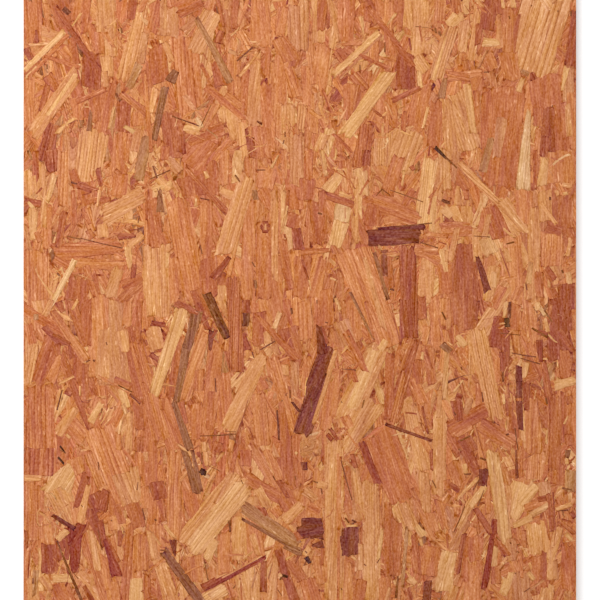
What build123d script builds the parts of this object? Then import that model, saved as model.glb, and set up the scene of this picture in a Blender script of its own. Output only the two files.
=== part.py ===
# One oriented strand board panel, lying flat on its underside.
# Millimetres, +Z up. X runs across the panel, Y along its strength axis,
# which is the way most of the face strands lie. The origin is the centre of the underside.
import os

from build123d import *

# The sheet as it is sawn to size.
panel_width = 610.0
panel_length = 1220.0
panel_thickness = 11.0

# The saw leaves square edges: the corners and arrises are only knocked off by handling.
corner_radius = 1.5
arris_bevel = 0.4

# The pressed mat, sawn on four sides: one solid, with no layer of its own.
with BuildPart() as osb_panel:
    with BuildSketch(Plane.XY) as sawn_outline:
        RectangleRounded(panel_width, panel_length, corner_radius)
    extrude(amount=panel_thickness)
    face_arrises = osb_panel.faces().filter_by(Axis.Z).edges()
    chamfer(face_arrises, length=arris_bevel)

osb_panel.part.label = "osb_panel"

os.makedirs("parts", exist_ok=True)
export_step(osb_panel.part, "parts/osb_panel.step")
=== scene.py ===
"""An oriented strand board panel lying flat, laid up strand by strand."""

import bmesh
import bpy
import numpy as np
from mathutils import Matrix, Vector


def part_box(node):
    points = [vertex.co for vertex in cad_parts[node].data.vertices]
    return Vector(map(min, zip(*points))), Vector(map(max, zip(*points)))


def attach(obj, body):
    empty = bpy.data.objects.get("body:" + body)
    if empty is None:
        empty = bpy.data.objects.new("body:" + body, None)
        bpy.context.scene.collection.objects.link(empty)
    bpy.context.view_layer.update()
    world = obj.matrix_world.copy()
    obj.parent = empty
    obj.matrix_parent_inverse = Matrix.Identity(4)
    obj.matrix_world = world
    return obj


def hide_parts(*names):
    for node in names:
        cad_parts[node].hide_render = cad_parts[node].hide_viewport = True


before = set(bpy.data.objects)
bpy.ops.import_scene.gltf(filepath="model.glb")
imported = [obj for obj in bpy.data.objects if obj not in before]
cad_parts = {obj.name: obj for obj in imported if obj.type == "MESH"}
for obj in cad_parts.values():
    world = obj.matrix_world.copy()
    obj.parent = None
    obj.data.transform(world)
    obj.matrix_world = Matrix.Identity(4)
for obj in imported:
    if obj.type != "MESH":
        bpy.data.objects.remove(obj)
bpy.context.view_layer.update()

# Lengths below are millimetres in the panel's own frame, and meshes are metres.
MM = 0.001
PANEL_HIGH = np.array(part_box("osb_panel")[1]) / MM
HALF_WIDTH, HALF_LENGTH, THICKNESS = PANEL_HIGH
# The corners are knocked flat through a point this far in from both sides, and the arrises are bevelled.
CORNER_CUT = 0.6
ARRIS_BEVEL = 0.4

# The photograph: its size, and where the panel's two sawn sides cross it, in pixels.
PHOTO_SIZE = 600
PHOTO_LEFT_SIDE = 23.4
PHOTO_RIGHT_SIDE = 576.3
MM_PER_PIXEL = 2 * HALF_WIDTH / (PHOTO_RIGHT_SIDE - PHOTO_LEFT_SIDE)
PHOTO_CENTRE = np.array([(PHOTO_LEFT_SIDE + PHOTO_RIGHT_SIDE) / 2, PHOTO_SIZE / 2])
PHOTO_HALF_HEIGHT = PHOTO_SIZE / 2 * MM_PER_PIXEL

# Tones of pressed pine and aspen strands, from sapwood to bark. Umber and the darkest are partly painted
# shade, in thin strands and specks laid in gaps and holes between strands.
TONES = {
    "straw": "#E4A76F",
    "honey": "#DC9762",
    "fawn": "#D08A5D",
    "amber": "#D58756",
    "orange": "#CE7E4F",
    "copper": "#C9774C",
    "rust": "#BF6D46",
    "brick": "#AE5C3F",
    "plum": "#8D4837",
    "drab": "#A26646",
    "umber": "#8A4F30",
    "ash": "#BC7F55",
    "cream": "#E7B27E",
    "wine": "#9C4636",
    "bark": "#5C3523",
}

# Strands that can be told apart in the photograph, in three levels from the lowest up.
# Each is its two ends and the widths there, in pixels, then how plainly its rings show, from 0 to 2.
SEEN_STRANDS = [
    {
        "straw": [
            (462, 14, 450, 24, 10, 9, 0), (33, 208, 33, 240, 11, 7, 1), (166, 252, 166, 268, 7, 7, 0),
            (358, 160, 358, 240, 9, 8, 1), (508, 578, 502, 594, 8, 7, 0), (331, 128, 322, 164, 14, 10, 1),
        ],
        "honey": [
            (96, 129, 82, 184, 30, 32, 2), (106, -4, 107, 56, 20, 22, 2), (106, 56, 108, 76, 14, 12, 1),
            (226, -4, 226, 9, 6, 5, 0), (255, 50, 253, 126, 12, 14, 1), (232, 108, 237, 140, 16, 14, 0),
            (288, 104, 286, 152, 14, 15, 2), (305, -4, 304, 52, 10, 9, 2), (410, 130, 396, 170, 30, 30, 2),
            (421, -4, 421, 56, 22, 22, 2), (416, 57, 426, 72, 13, 14, 1), (326, 134, 318, 152, 12, 11, 1),
            (547, -6, 528, 74, 52, 44, 2), (456, 92, 470, 150, 20, 24, 2), (42, 164, 43, 190, 7, 8, 1),
            (102, 224, 103, 238, 10, 14, 0), (118, 268, 110, 298, 12, 13, 1),
            (125, 176, 128, 220, 10, 10, 1), (220, 190, 236, 198, 8, 10, 0),
            (222, 285, 222, 302, 10, 12, 0), (425, 270, 424, 300, 12, 14, 0), (440, 166, 438, 200, 9, 9, 0),
            (502, 203, 524, 230, 16, 12, 1), (534, 208, 532, 300, 14, 12, 1), (38, 300, 40, 314, 14, 10, 1),
            (104, 330, 102, 378, 16, 22, 0), (130, 412, 128, 450, 6, 8, 1), (122, 330, 126, 352, 12, 10, 0),
            (152, 326, 158, 350, 14, 16, 0), (522, 410, 527, 450, 6, 10, 1), (42, 576, 50, 590, 10, 8, 1),
            (252, 496, 254, 506, 10, 12, 0), (208, 558, 216, 568, 8, 8, 0), (240, 516, 240, 560, 16, 16, 1),
            (292, 524, 296, 530, 8, 8, 0), (158, 556, 172, 604, 14, 16, 1), (370, 482, 372, 604, 20, 16, 1),
            (414, 586, 416, 604, 7, 8, 0), (548, 584, 546, 604, 12, 14, 1), (456, 586, 450, 604, 8, 8, 0),
            (506, 456, 512, 470, 8, 7, 1), (384, 132, 382, 166, 18, 18, 2), (428, 256, 426, 302, 14, 13, 1),
            (436, 206, 436, 234, 14, 12, 0), (511, 484, 512, 526, 12, 10, 1),
            (447, 100, 452, 160, 14, 14, 1), (150, 530, 156, 560, 10, 10, 1),
            (546, 520, 548, 562, 12, 10, 1), (545, 190, 545, 222, 14, 14, 1), (318, -4, 319, 44, 14, 14, 1),
            (32, 576, 34, 604, 10, 12, 1), (188, 556, 206, 590, 12, 12, 1), (220, 562, 222, 582, 16, 14, 0),
            (206, 540, 190, 560, 12, 10, 1),
        ],
        "fawn": [
            (296, 6, 294, 50, 16, 14, 2), (318, 92, 318, 116, 10, 12, 0), (570, 66, 568, 110, 10, 12, 1),
            (168, 158, 180, 172, 8, 10, 1), (553, 250, 562, 280, 7, 8, 1), (294, 362, 294, 400, 9, 8, 1),
            (342, 320, 350, 344, 20, 22, 1), (146, 452, 146, 462, 6, 5, 0), (304, 490, 316, 500, 10, 9, 1),
            (70, 132, 68, 206, 18, 18, 2), (114, 300, 116, 384, 30, 38, 0),
        ],
        "amber": [
            (30, 78, 30, 128, 10, 12, 1), (138, 112, 138, 126, 13, 13, 1), (260, -4, 261, 46, 19, 21, 0),
            (273, 62, 277, 150, 14, 12, 1), (225, 94, 240, 108, 12, 10, 0), (306, 66, 308, 106, 11, 9, 1),
            (302, 106, 306, 128, 8, 7, 1), (448, 78, 482, 72, 8, 8, 1), (64, 150, 64, 206, 14, 12, 2),
            (46, 206, 47, 248, 12, 10, 1), (36, 250, 38, 330, 24, 22, 2), (40, 236, 36, 250, 6, 8, 1),
            (225, 150, 224, 186, 9, 9, 0), (250, 200, 246, 300, 14, 14, 1), (284, 150, 284, 178, 6, 6, 1),
            (384, 196, 416, 214, 18, 18, 0), (490, 254, 488, 278, 12, 14, 0),
            (101, 297, 100, 380, 26, 24, 1), (128, 300, 126, 326, 9, 10, 0),
            (258, 394, 264, 446, 16, 14, 1), (162, 300, 158, 318, 20, 20, 1),
            (406, 344, 404, 350, 10, 6, 0), (376, 300, 392, 346, 26, 26, 2),
            (304, 300, 306, 340, 14, 14, 1), (308, 356, 304, 396, 9, 7, 0), (527, 304, 524, 330, 8, 8, 1),
            (112, 516, 114, 530, 10, 12, 0), (140, 534, 142, 572, 13, 15, 1),
            (92, 452, 104, 486, 18, 16, 2), (266, 450, 282, 480, 8, 9, 1), (424, 450, 428, 480, 12, 10, 2),
            (346, 560, 346, 604, 14, 16, 0), (536, 450, 534, 480, 20, 16, 2),
            (534, 526, 538, 556, 12, 12, 0), (512, 560, 518, 572, 8, 8, 0), (282, 56, 280, 104, 14, 14, 0),
            (388, 0, 386, 34, 12, 12, 1), (440, -4, 438, 28, 12, 12, 1), (324, 44, 318, 86, 15, 18, 1),
            (314, 96, 312, 132, 12, 12, 0), (268, 168, 264, 188, 18, 18, 0),
            (173, 256, 173, 304, 14, 12, 1), (513, 236, 515, 306, 20, 18, 1),
            (446, 330, 444, 372, 10, 10, 1), (330, 382, 326, 430, 11, 12, 0),
            (434, 296, 436, 350, 10, 10, 1), (47, 512, 50, 545, 12, 12, 1), (112, 582, 114, 604, 14, 16, 0),
            (252, 512, 256, 560, 18, 18, 1), (233, 38, 234, 96, 13, 13, 1), (318, 470, 318, 522, 10, 10, 0),
            (212, 566, 214, 582, 8, 8, 0), (524, 188, 522, 222, 18, 18, 1), (384, 92, 382, 146, 18, 16, 1),
            (352, 300, 356, 340, 14, 14, 1), (156, 524, 158, 556, 16, 14, 1),
        ],
        "orange": [
            (62, 48, 70, 58, 12, 8, 2), (122, 130, 115, 196, 18, 20, 0), (80, -4, 76, 22, 10, 12, 1),
            (184, 36, 191, 122, 28, 26, 2), (280, 38, 290, 62, 18, 20, 0), (266, 84, 271, 150, 14, 12, 0),
            (288, 68, 296, 96, 12, 14, 2), (424, 84, 414, 130, 18, 17, 0), (470, 77, 448, 75, 10, 9, 1),
            (86, 208, 92, 232, 10, 8, 1), (70, 262, 124, 266, 10, 12, 0), (176, 198, 194, 300, 26, 22, 2),
            (206, 200, 206, 280, 14, 12, 0), (264, 280, 266, 330, 14, 14, 0),
            (152, 216, 156, 240, 12, 10, 1), (410, 214, 384, 222, 14, 8, 0),
            (352, 204, 366, 244, 10, 10, 0), (420, 250, 440, 262, 12, 14, 1), (500, 280, 516, 276, 6, 5, 1),
            (66, 418, 84, 440, 16, 18, 1), (224, 374, 226, 434, 12, 20, 1), (196, 404, 198, 440, 12, 14, 1),
            (414, 378, 424, 404, 8, 12, 0), (344, 352, 354, 364, 10, 12, 1), (532, 342, 538, 362, 10, 6, 0),
            (34, 484, 36, 540, 18, 20, 2), (84, 534, 112, 604, 14, 20, 2), (438, 500, 446, 530, 8, 8, 1),
            (384, 578, 386, 604, 12, 14, 0), (452, 462, 462, 486, 14, 16, 1),
            (450, 262, 448, 302, 12, 12, 1), (524, 440, 522, 470, 14, 14, 0),
            (277, 254, 277, 318, 12, 12, 0), (147, 298, 148, 330, 14, 12, 1),
        ],
        "copper": [
            (33, -4, 33, 43, 18, 17, 1), (110, 82, 101, 130, 17, 16, 0), (148, 60, 150, 88, 6, 7, 0),
            (90, 24, 97, 52, 9, 6, 0), (246, 70, 244, 116, 9, 8, 0), (158, -4, 152, 32, 14, 12, 1),
            (347, -4, 345, 42, 18, 17, 1), (437, 101, 434, 148, 13, 15, 0), (487, 54, 493, 70, 14, 12, 1),
            (262, 188, 272, 208, 16, 10, 1), (283, 240, 290, 290, 9, 9, 0), (404, 206, 414, 190, 8, 10, 1),
            (452, 168, 468, 190, 12, 10, 0), (570, 228, 574, 244, 7, 6, 0), (520, 286, 514, 300, 8, 8, 1),
            (40, 384, 40, 460, 28, 30, 2), (258, 378, 264, 390, 10, 12, 0), (160, 400, 178, 450, 22, 26, 1),
            (428, 346, 432, 384, 10, 9, 1), (516, 304, 516, 330, 12, 10, 0), (60, 584, 66, 604, 18, 20, 0),
            (139, 450, 140, 476, 8, 8, 1), (152, 496, 152, 524, 10, 8, 0), (190, 490, 196, 520, 16, 14, 0),
            (308, 506, 320, 512, 10, 10, 1), (308, 578, 314, 604, 18, 16, 1),
            (557, 464, 558, 484, 14, 14, 0), (516, 534, 522, 546, 9, 8, 1), (208, 138, 190, 166, 26, 20, 0),
            (148, 404, 150, 486, 17, 16, 0), (280, 488, 296, 518, 18, 16, 0),
            (303, 256, 300, 298, 18, 16, 0), (292, 168, 296, 208, 18, 18, 0),
            (116, 490, 118, 524, 18, 16, 0), (366, 70, 362, 110, 14, 14, 0),
        ],
        "rust": [
            (71, 38, 76, 64, 8, 9, 0), (188, 142, 225, 128, 18, 14, 0), (455, -4, 457, 14, 10, 9, 1),
            (517, 14, 510, 56, 8, 10, 0), (466, 60, 468, 70, 6, 6, 0), (192, 176, 196, 196, 34, 30, 0),
            (322, 190, 324, 240, 8, 7, 0), (300, 252, 330, 250, 8, 4, 0), (566, 196, 564, 236, 16, 16, 1),
            (546, 226, 562, 232, 16, 14, 1), (538, 272, 540, 298, 10, 9, 1), (60, 352, 74, 384, 8, 9, 0),
            (66, 374, 72, 378, 14, 8, 0), (114, 380, 130, 386, 10, 8, 0), (140, 436, 138, 452, 10, 12, 0),
            (128, 330, 146, 400, 22, 26, 1), (162, 398, 162, 410, 10, 6, 0),
            (218, 442, 216, 452, 12, 10, 1), (458, 300, 462, 330, 26, 28, 0),
            (568, 396, 570, 404, 10, 8, 0), (246, 450, 246, 466, 12, 10, 0), (58, -4, 64, 26, 24, 14, 0),
            (86, 182, 90, 204, 22, 18, 0), (142, 277, 122, 286, 10, 12, 0), (131, 502, 140, 528, 15, 13, 0),
            (290, 560, 302, 580, 14, 12, 0), (286, 456, 290, 488, 22, 20, 0),
            (172, 112, 174, 158, 22, 20, 0), (288, 328, 296, 358, 20, 16, 0),
            (292, 386, 294, 414, 20, 16, 0), (64, 428, 62, 466, 14, 12, 0), (80, 280, 80, 306, 16, 16, 0),
            (566, 392, 566, 444, 12, 12, 0), (416, 360, 418, 384, 12, 10, 0),
        ],
        "brick": [
            (124, 101, 122, 132, 14, 16, 0), (50, 544, 50, 574, 18, 18, 0),
        ],
        "umber": [
            (63, 8, 69, 14, 8, 6, 1), (28, 150, 32, 160, 3.1, 2.5, 2),
        ],
    },
    {
        "straw": [
            (81, 13, 72, 26, 3, 2, 0), (361, 16, 363, 32, 5, 2, 0), (419, 71, 420, 87, 5, 6, 2),
            (396, 13, 387, 25, 3, 2, 0), (466, -4, 466, 14, 7, 7, 0), (483, 42, 500, 43, 9, 8, 0),
            (502, -4, 503, 8, 5, 4, 0), (512, -4, 513, 8, 5, 6, 0), (523, 78, 518, 92, 4, 7, 0),
            (567, 67, 562, 90, 6, 3, 0), (32, 194, 36, 198, 10, 8, 0), (103, 172, 104, 178, 3, 2, 0),
            (127, 246, 130, 268, 8, 4, 0), (205, 171, 208, 178, 4, 5, 0), (152, 190, 172, 184, 6, 8, 1),
            (196, 198, 196, 207, 4, 4, 0), (240, 150, 236, 182, 12, 10, 1), (284, 190, 282, 232, 7, 3, 1),
            (322, 150, 326, 176, 6, 4, 1), (341, 172, 326, 192, 10, 14, 0), (363, 170, 366, 196, 8, 7, 0),
            (339, 193, 352, 198, 5, 4, 0), (432, 157, 420, 224, 16, 13, 2), (443, 248, 446, 272, 9, 5, 0),
            (434, 196, 432, 232, 6, 7, 0), (404, 170, 402, 186, 3, 2, 0), (487, 192, 474, 226, 8, 7, 1),
            (483, 238, 492, 254, 16, 17, 1), (494, 272, 494, 288, 6, 6, 0), (531, 262, 528, 284, 5, 6, 0),
            (568, 272, 570, 284, 6, 6, 0), (121, 388, 127, 408, 8, 8, 0), (375, 350, 352, 408, 16, 18, 1),
            (386, 340, 380, 350, 8, 10, 0), (397, 314, 399, 326, 5, 3, 0), (447, 352, 444, 400, 5, 7, 1),
            (362, 340, 366, 346, 3, 3, 0), (456, 336, 466, 346, 7, 8, 0), (506, 302, 504, 318, 5, 3, 0),
            (526, 362, 524, 378, 8, 5, 0), (545, 318, 548, 332, 3, 5, 0), (537, 302, 538, 310, 6, 5, 0),
            (556, 388, 560, 378, 4, 8, 0), (463, 380, 453, 392, 2, 2, 0), (74, 464, 54, 498, 12, 34, 1),
            (52, 578, 72, 578, 8, 10, 0), (136, 578, 136, 604, 14, 16, 0), (210, 596, 224, 586, 8, 9, 2),
            (216, 540, 206, 560, 8, 10, 0), (344, 460, 356, 472, 3, 3, 0), (449, 552, 442, 592, 15, 21, 1),
            (378, 560, 382, 528, 4, 4, 0), (346, 526, 358, 526, 3, 3, 0), (464, 464, 466, 474, 5, 4, 0),
            (478, 478, 456, 500, 4, 4, 0), (524, 482, 514, 520, 24, 10, 1), (536, 484, 520, 504, 12, 12, 1),
            (566, 534, 572, 540, 5, 4, 0), (494, 546, 494, 566, 8, 8, 0), (512, 572, 504, 596, 7, 6, 0),
            (528, 572, 534, 580, 5, 5, 0), (443, 208, 452, 216, 10, 8, 0), (204, 600, 226, 588, 12, 12, 2),
            (458, 16, 448, 26, 14, 10, 0), (184, 127, 200, 130, 9, 8, 0),
        ],
        "honey": [
            (143, 4, 123, 80, 13, 16, 2), (105, 71, 106, 87, 6, 6, 2), (164, 42, 172, 62, 7, 6, 0),
            (195, 52, 214, 11, 16, 20, 2), (193, 119, 192, 134, 14, 15, 0), (156, 88, 150, 112, 7, 6, 0),
            (328, -4, 339, 42, 6, 4, 1), (479, -4, 471, 60, 9, 8, 1), (499, 17, 499, 48, 3, 10, 0),
            (24, 224, 30, 250, 4, 5, 1), (142, 194, 104, 218, 16, 20, 1), (143, 234, 128, 246, 8, 7, 0),
            (100, 190, 98, 206, 4, 3, 0), (274, 190, 275, 280, 8, 7, 1), (156, 243, 158, 318, 28, 26, 2),
            (446, 250, 446, 262, 5, 4, 0), (498, 200, 526, 232, 10, 6, 1), (458, 186, 458, 206, 4, 8, 0),
            (505, 248, 509, 262, 5, 6, 0), (562, 184, 572, 186, 6, 5, 0), (540, 202, 556, 224, 4, 4, 2),
            (571, 238, 568, 256, 4, 5, 0), (452, 206, 460, 222, 10, 10, 0), (35, 342, 29, 384, 9, 5, 2),
            (76, 408, 58, 434, 8, 12, 0), (222, 300, 226, 318, 9, 3, 0), (213, 304, 220, 316, 4, 3, 0),
            (265, 332, 268, 344, 6, 9, 0), (250, 356, 262, 360, 5, 6, 1), (285, 364, 286, 376, 8, 6, 0),
            (204, 442, 204, 452, 6, 6, 0), (379, 346, 346, 424, 22, 28, 1), (374, 400, 345, 452, 26, 12, 1),
            (409, 402, 424, 472, 15, 16, 1), (440, 390, 438, 418, 6, 5, 0), (447, 318, 449, 330, 6, 5, 0),
            (508, 282, 481, 334, 13, 17, 2), (511, 374, 513, 380, 6, 6, 0), (24, 478, 41, 478, 8, 6, 0),
            (90, 530, 98, 570, 7, 8, 1), (120, 474, 130, 504, 26, 24, 2), (206, 452, 206, 466, 6, 5, 0),
            (241, 480, 188, 547, 30, 32, 2), (246, 479, 240, 490, 9, 12, 0),
            (258, 488, 268, 508, 10, 10, 0), (302, 504, 284, 522, 10, 12, 1),
            (276, 556, 272, 604, 6, 10, 1), (252, 534, 258, 556, 7, 6, 1), (253, 566, 254, 604, 14, 14, 1),
            (234, 474, 216, 504, 6, 8, 1), (334, 442, 334, 604, 18, 20, 1), (310, 546, 304, 556, 6, 8, 0),
            (316, 484, 328, 486, 8, 8, 0), (352, 466, 358, 522, 14, 18, 1), (400, 504, 414, 530, 14, 13, 1),
            (424, 472, 426, 512, 12, 10, 1), (390, 588, 386, 604, 4, 5, 0), (559, 528, 550, 560, 9, 10, 0),
            (552, 546, 550, 580, 4, 8, 0), (556, 510, 572, 504, 4, 5, 0), (544, 588, 540, 604, 6, 5, 0),
            (555, 560, 556, 580, 5, 6, 0), (302, 104, 300, 130, 8, 8, 2), (158, 178, 170, 190, 9, 8, 0),
            (28, 170, 29, 196, 9, 10, 1), (42, 162, 44, 228, 7, 6, 1), (355, 178, 355, 244, 8, 8, 1),
            (457, 228, 450, 262, 7, 6, 1), (56, 488, 72, 522, 28, 16, 1), (440, 412, 438, 496, 14, 14, 1),
            (533, 524, 537, 554, 17, 15, 1), (163, -4, 164, 28, 8, 8, 1), (134, 466, 136, 500, 10, 10, 1),
            (494, 266, 490, 302, 14, 14, 1), (240, 572, 246, 604, 12, 14, 1), (34, 176, 36, 204, 10, 12, 1),
            (444, 150, 446, 190, 12, 12, 1), (464, 20, 462, 52, 12, 10, 1), (476, 228, 478, 262, 10, 10, 1),
            (346, 168, 348, 192, 14, 12, 1), (243, 122, 244, 156, 10, 10, 1), (568, 104, 570, 136, 7, 8, 1),
            (364, 256, 384, 330, 8, 10, 2), (407, -4, 408, 30, 10, 10, 1), (466, 206, 468, 226, 12, 12, 0),
        ],
        "fawn": [
            (29, 45, 52, 43, 3, 5, 0), (141, 130, 136, 152, 15, 16, 1), (172, 8, 168, 36, 10, 22, 0),
            (183, 32, 197, 17, 9, 8, 0), (340, 78, 382, 34, 3, 4, 0), (502, 118, 496, 158, 16, 12, 0),
            (487, 50, 478, 68, 3, 3, 0), (457, 152, 453, 182, 8, 5, 0), (273, 345, 278, 355, 8, 5, 0),
            (303, 434, 310, 446, 4, 6, 0), (470, 398, 466, 414, 8, 6, 0), (400, 582, 398, 604, 4, 3, 0),
            (468, 520, 452, 550, 8, 10, 0), (530, 590, 544, 580, 3, 3, 0), (145, 32, 140, 64, 8, 9, 1),
            (297, 134, 296, 186, 15, 14, 2), (543, 482, 545, 496, 14, 12, 0),
            (520, 572, 522, 604, 20, 20, 1), (508, 538, 510, 562, 16, 14, 1), (359, 544, 359, 570, 9, 9, 1),
        ],
        "amber": [
            (46, 2, 49, 32, 7, 2, 0), (147, -4, 140, 12, 6, 6, 1), (239, 30, 249, 50, 8, 12, 2),
            (202, 131, 216, 104, 6, 10, 0), (341, 45, 362, 43, 3, 5, 0), (539, 128, 533, 184, 6, 6, 1),
            (571, 92, 573, 150, 9, 8, 1), (236, 238, 228, 278, 6, 5, 1), (349, 160, 348, 194, 6, 7, 1),
            (352, 250, 388, 346, 38, 26, 2), (320, 256, 314, 298, 14, 16, 1),
            (557, 150, 558, 184, 34, 36, 0), (97, 396, 92, 408, 10, 8, 1), (98, 428, 130, 504, 32, 26, 2),
            (208, 318, 184, 400, 12, 14, 1), (232, 440, 230, 452, 6, 5, 0), (340, 370, 332, 416, 8, 8, 0),
            (427, 326, 424, 346, 8, 5, 0), (416, 428, 430, 452, 8, 6, 0), (531, 400, 534, 452, 14, 20, 1),
            (472, 426, 456, 436, 7, 4, 0), (572, 330, 574, 342, 5, 4, 0), (74, 458, 80, 474, 18, 12, 0),
            (74, 500, 76, 524, 12, 10, 1), (104, 556, 108, 590, 8, 8, 0), (174, 450, 174, 540, 13, 14, 2),
            (224, 532, 224, 574, 14, 12, 0), (194, 556, 196, 582, 20, 16, 1), (412, 488, 432, 540, 4, 7, 0),
            (430, 512, 434, 532, 12, 12, 0), (526, 300, 536, 344, 9, 10, 1),
            (474, 562, 472, 604, 18, 18, 0), (283, 580, 284, 604, 12, 12, 1),
            (552, 234, 552, 266, 22, 22, 1), (445, 298, 446, 326, 12, 12, 1),
            (320, 556, 322, 584, 16, 14, 1), (283, 6, 280, 36, 12, 10, 1), (374, 40, 374, 62, 10, 10, 1),
            (497, 358, 497, 382, 8, 8, 0),
        ],
        "orange": [
            (28, 77, 68, 34, 4, 4, 0), (77, 98, 80, 127, 16, 8, 0), (390, 98, 394, 127, 16, 8, 0),
            (402, -4, 399, 32, 8, 6, 0), (321, 118, 325, 128, 7, 6, 0), (120, 174, 118, 195, 16, 18, 0),
            (84, 212, 90, 224, 5, 4, 0), (264, 222, 264, 298, 15, 16, 0), (118, 432, 119, 450, 6, 7, 1),
            (216, 342, 206, 436, 16, 13, 0), (272, 356, 294, 434, 14, 15, 1), (404, 372, 392, 422, 5, 7, 2),
            (344, 416, 350, 428, 12, 10, 2), (145, 486, 146, 508, 8, 9, 0), (274, 508, 280, 516, 10, 8, 0),
            (432, 546, 428, 576, 18, 20, 0), (488, 476, 488, 514, 5, 6, 0), (524, 508, 548, 502, 8, 8, 0),
            (516, 528, 520, 540, 8, 7, 1), (507, 8, 508, 56, 13, 12, 1), (414, 250, 438, 251, 10, 8, 0),
            (372, 200, 420, 219, 17, 20, 1), (135, 340, 162, 440, 13, 17, 1),
            (199, 370, 198, 390, 12, 12, 1), (98, 32, 100, 54, 10, 10, 0), (322, 290, 324, 326, 22, 20, 1),
            (508, 52, 512, 80, 20, 18, 1), (350, 84, 348, 120, 14, 10, 0),
        ],
        "copper": [
            (44, 56, 80, 68, 4, 5, 1), (88, -4, 84, 34, 8, 7, 0), (269, 48, 267, 78, 5, 6, 0),
            (206, 86, 244, 119, 9, 6, 0), (359, 54, 390, 69, 4, 5, 1), (394, 119, 395, 128, 9, 7, 0),
            (545, 76, 550, 118, 34, 28, 0), (503, 88, 499, 186, 46, 32, 0), (537, 108, 538, 126, 8, 9, 0),
            (54, 252, 122, 246, 18, 14, 1), (54, 258, 70, 268, 8, 8, 2), (86, 266, 96, 298, 7, 6, 1),
            (194, 196, 198, 206, 8, 6, 0), (309, 150, 308, 180, 8, 9, 1), (399, 157, 387, 194, 12, 16, 0),
            (402, 158, 388, 196, 6, 9, 0), (466, 190, 467, 200, 6, 5, 0), (485, 208, 480, 232, 8, 6, 0),
            (28, 324, 33, 344, 8, 10, 1), (366, 302, 374, 342, 5, 3, 1), (378, 430, 403, 499, 40, 28, 0),
            (503, 286, 492, 308, 12, 12, 1), (480, 424, 514, 444, 14, 20, 1), (568, 434, 570, 446, 8, 8, 0),
            (130, 524, 124, 604, 8, 10, 2), (348, 464, 350, 514, 8, 9, 0), (522, 458, 521, 476, 3, 3, 0),
            (568, 544, 568, 590, 14, 15, 0), (474, 536, 472, 580, 22, 20, 0), (520, 552, 522, 578, 4, 4, 0),
            (486, 588, 492, 604, 3, 4, 0), (262, 127, 262, 158, 20, 18, 0), (152, 198, 156, 248, 14, 14, 1),
            (440, 230, 472, 229, 16, 14, 0), (22, 308, 67, 334, 11, 10, 1), (346, 332, 366, 372, 8, 9, 1),
            (244, 477, 280, 498, 13, 12, 0), (379, -4, 380, 18, 10, 10, 0), (564, 350, 566, 378, 14, 12, 0),
            (444, 264, 446, 294, 14, 14, 0), (489, 90, 487, 150, 14, 12, 0),
            (539, 554, 542, 590, 16, 16, 0), (306, 178, 306, 200, 20, 18, 0), (364, 2, 368, 22, 8, 8, 0),
        ],
        "rust": [
            (24, 75, 38, 62, 3, 2, 0), (47, 75, 57, 90, 12, 10, 2), (48, 84, 41, 112, 7, 6, 1),
            (133, -4, 131, 19, 11, 9, 0), (120, 93, 147, 113, 7, 9, 2), (156, 46, 160, 82, 16, 22, 0),
            (217, -4, 224, 28, 5, 3, 0), (222, 31, 218, 43, 7, 9, 0), (214, 62, 221, 86, 6, 14, 0),
            (236, -4, 234, 29, 8, 7, 0), (323, -4, 321, 31, 11, 8, 0), (336, 50, 346, 62, 12, 10, 2),
            (344, 47, 352, 53, 9, 8, 0), (354, 74, 366, 90, 14, 9, 2), (359, 84, 355, 112, 8, 6, 1),
            (367, 124, 360, 168, 13, 19, 2), (323, 90, 331, 112, 3, 3, 0), (479, 24, 477, 45, 8, 6, 0),
            (476, 90, 480, 122, 6, 4, 0), (36, 150, 35, 194, 8, 7, 1), (73, 190, 74, 225, 5, 6, 1),
            (99, 201, 111, 199, 9, 4, 0), (88, 230, 93, 238, 7, 7, 0), (64, 212, 58, 248, 8, 7, 0),
            (113, 234, 134, 236, 2, 5, 0), (36, 232, 40, 242, 5, 7, 0), (147, 190, 148, 220, 4, 5, 1),
            (115, 170, 121, 175, 5, 5, 0), (165, 146, 164, 160, 9, 9, 0), (186, 168, 229, 214, 4, 7, 1),
            (255, 152, 253, 158, 6, 6, 0), (288, 190, 286, 212, 4, 4, 0), (163, 232, 168, 244, 9, 9, 1),
            (374, 204, 372, 226, 14, 16, 0), (388, 252, 388, 288, 6, 14, 0), (411, 166, 414, 170, 5, 4, 0),
            (426, 234, 448, 236, 4, 5, 0), (334, 274, 336, 280, 5, 4, 0), (536, 150, 534, 190, 6, 6, 0),
            (490, 206, 500, 238, 14, 22, 0), (464, 244, 466, 330, 28, 24, 0), (546, 268, 554, 280, 8, 9, 1),
            (446, 222, 470, 224, 3, 3, 0), (54, 338, 36, 384, 20, 14, 0), (72, 300, 84, 344, 12, 6, 1),
            (85, 300, 87, 346, 12, 8, 0), (85, 364, 85, 408, 8, 8, 0), (138, 400, 140, 430, 9, 10, 0),
            (140, 300, 138, 344, 8, 4, 1), (179, 330, 172, 400, 5, 14, 0), (176, 302, 192, 312, 10, 5, 0),
            (211, 392, 209, 430, 9, 9, 0), (284, 392, 289, 486, 11, 14, 0), (390, 352, 388, 420, 9, 9, 0),
            (415, 338, 393, 422, 11, 12, 2), (424, 350, 431, 370, 8, 6, 2), (526, 380, 538, 374, 10, 6, 0),
            (544, 362, 549, 398, 5, 8, 0), (556, 394, 554, 470, 12, 13, 0), (487, 409, 448, 430, 15, 18, 0),
            (40, 448, 40, 476, 30, 26, 2), (30, 544, 28, 578, 2.5, 1.2, 1), (147, 574, 148, 604, 7, 7, 0),
            (118, 504, 120, 512, 6, 5, 0), (160, 500, 164, 522, 8, 5, 0), (213, 450, 214, 466, 5, 5, 1),
            (240, 578, 242, 604, 1.9, 1.9, 0), (236, 450, 232, 472, 4, 4, 0), (323, 548, 322, 566, 5, 3, 0),
            (388, 502, 390, 576, 7, 13, 0), (394, 520, 394, 576, 16, 14, 0), (414, 534, 418, 574, 6, 9, 1),
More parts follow.
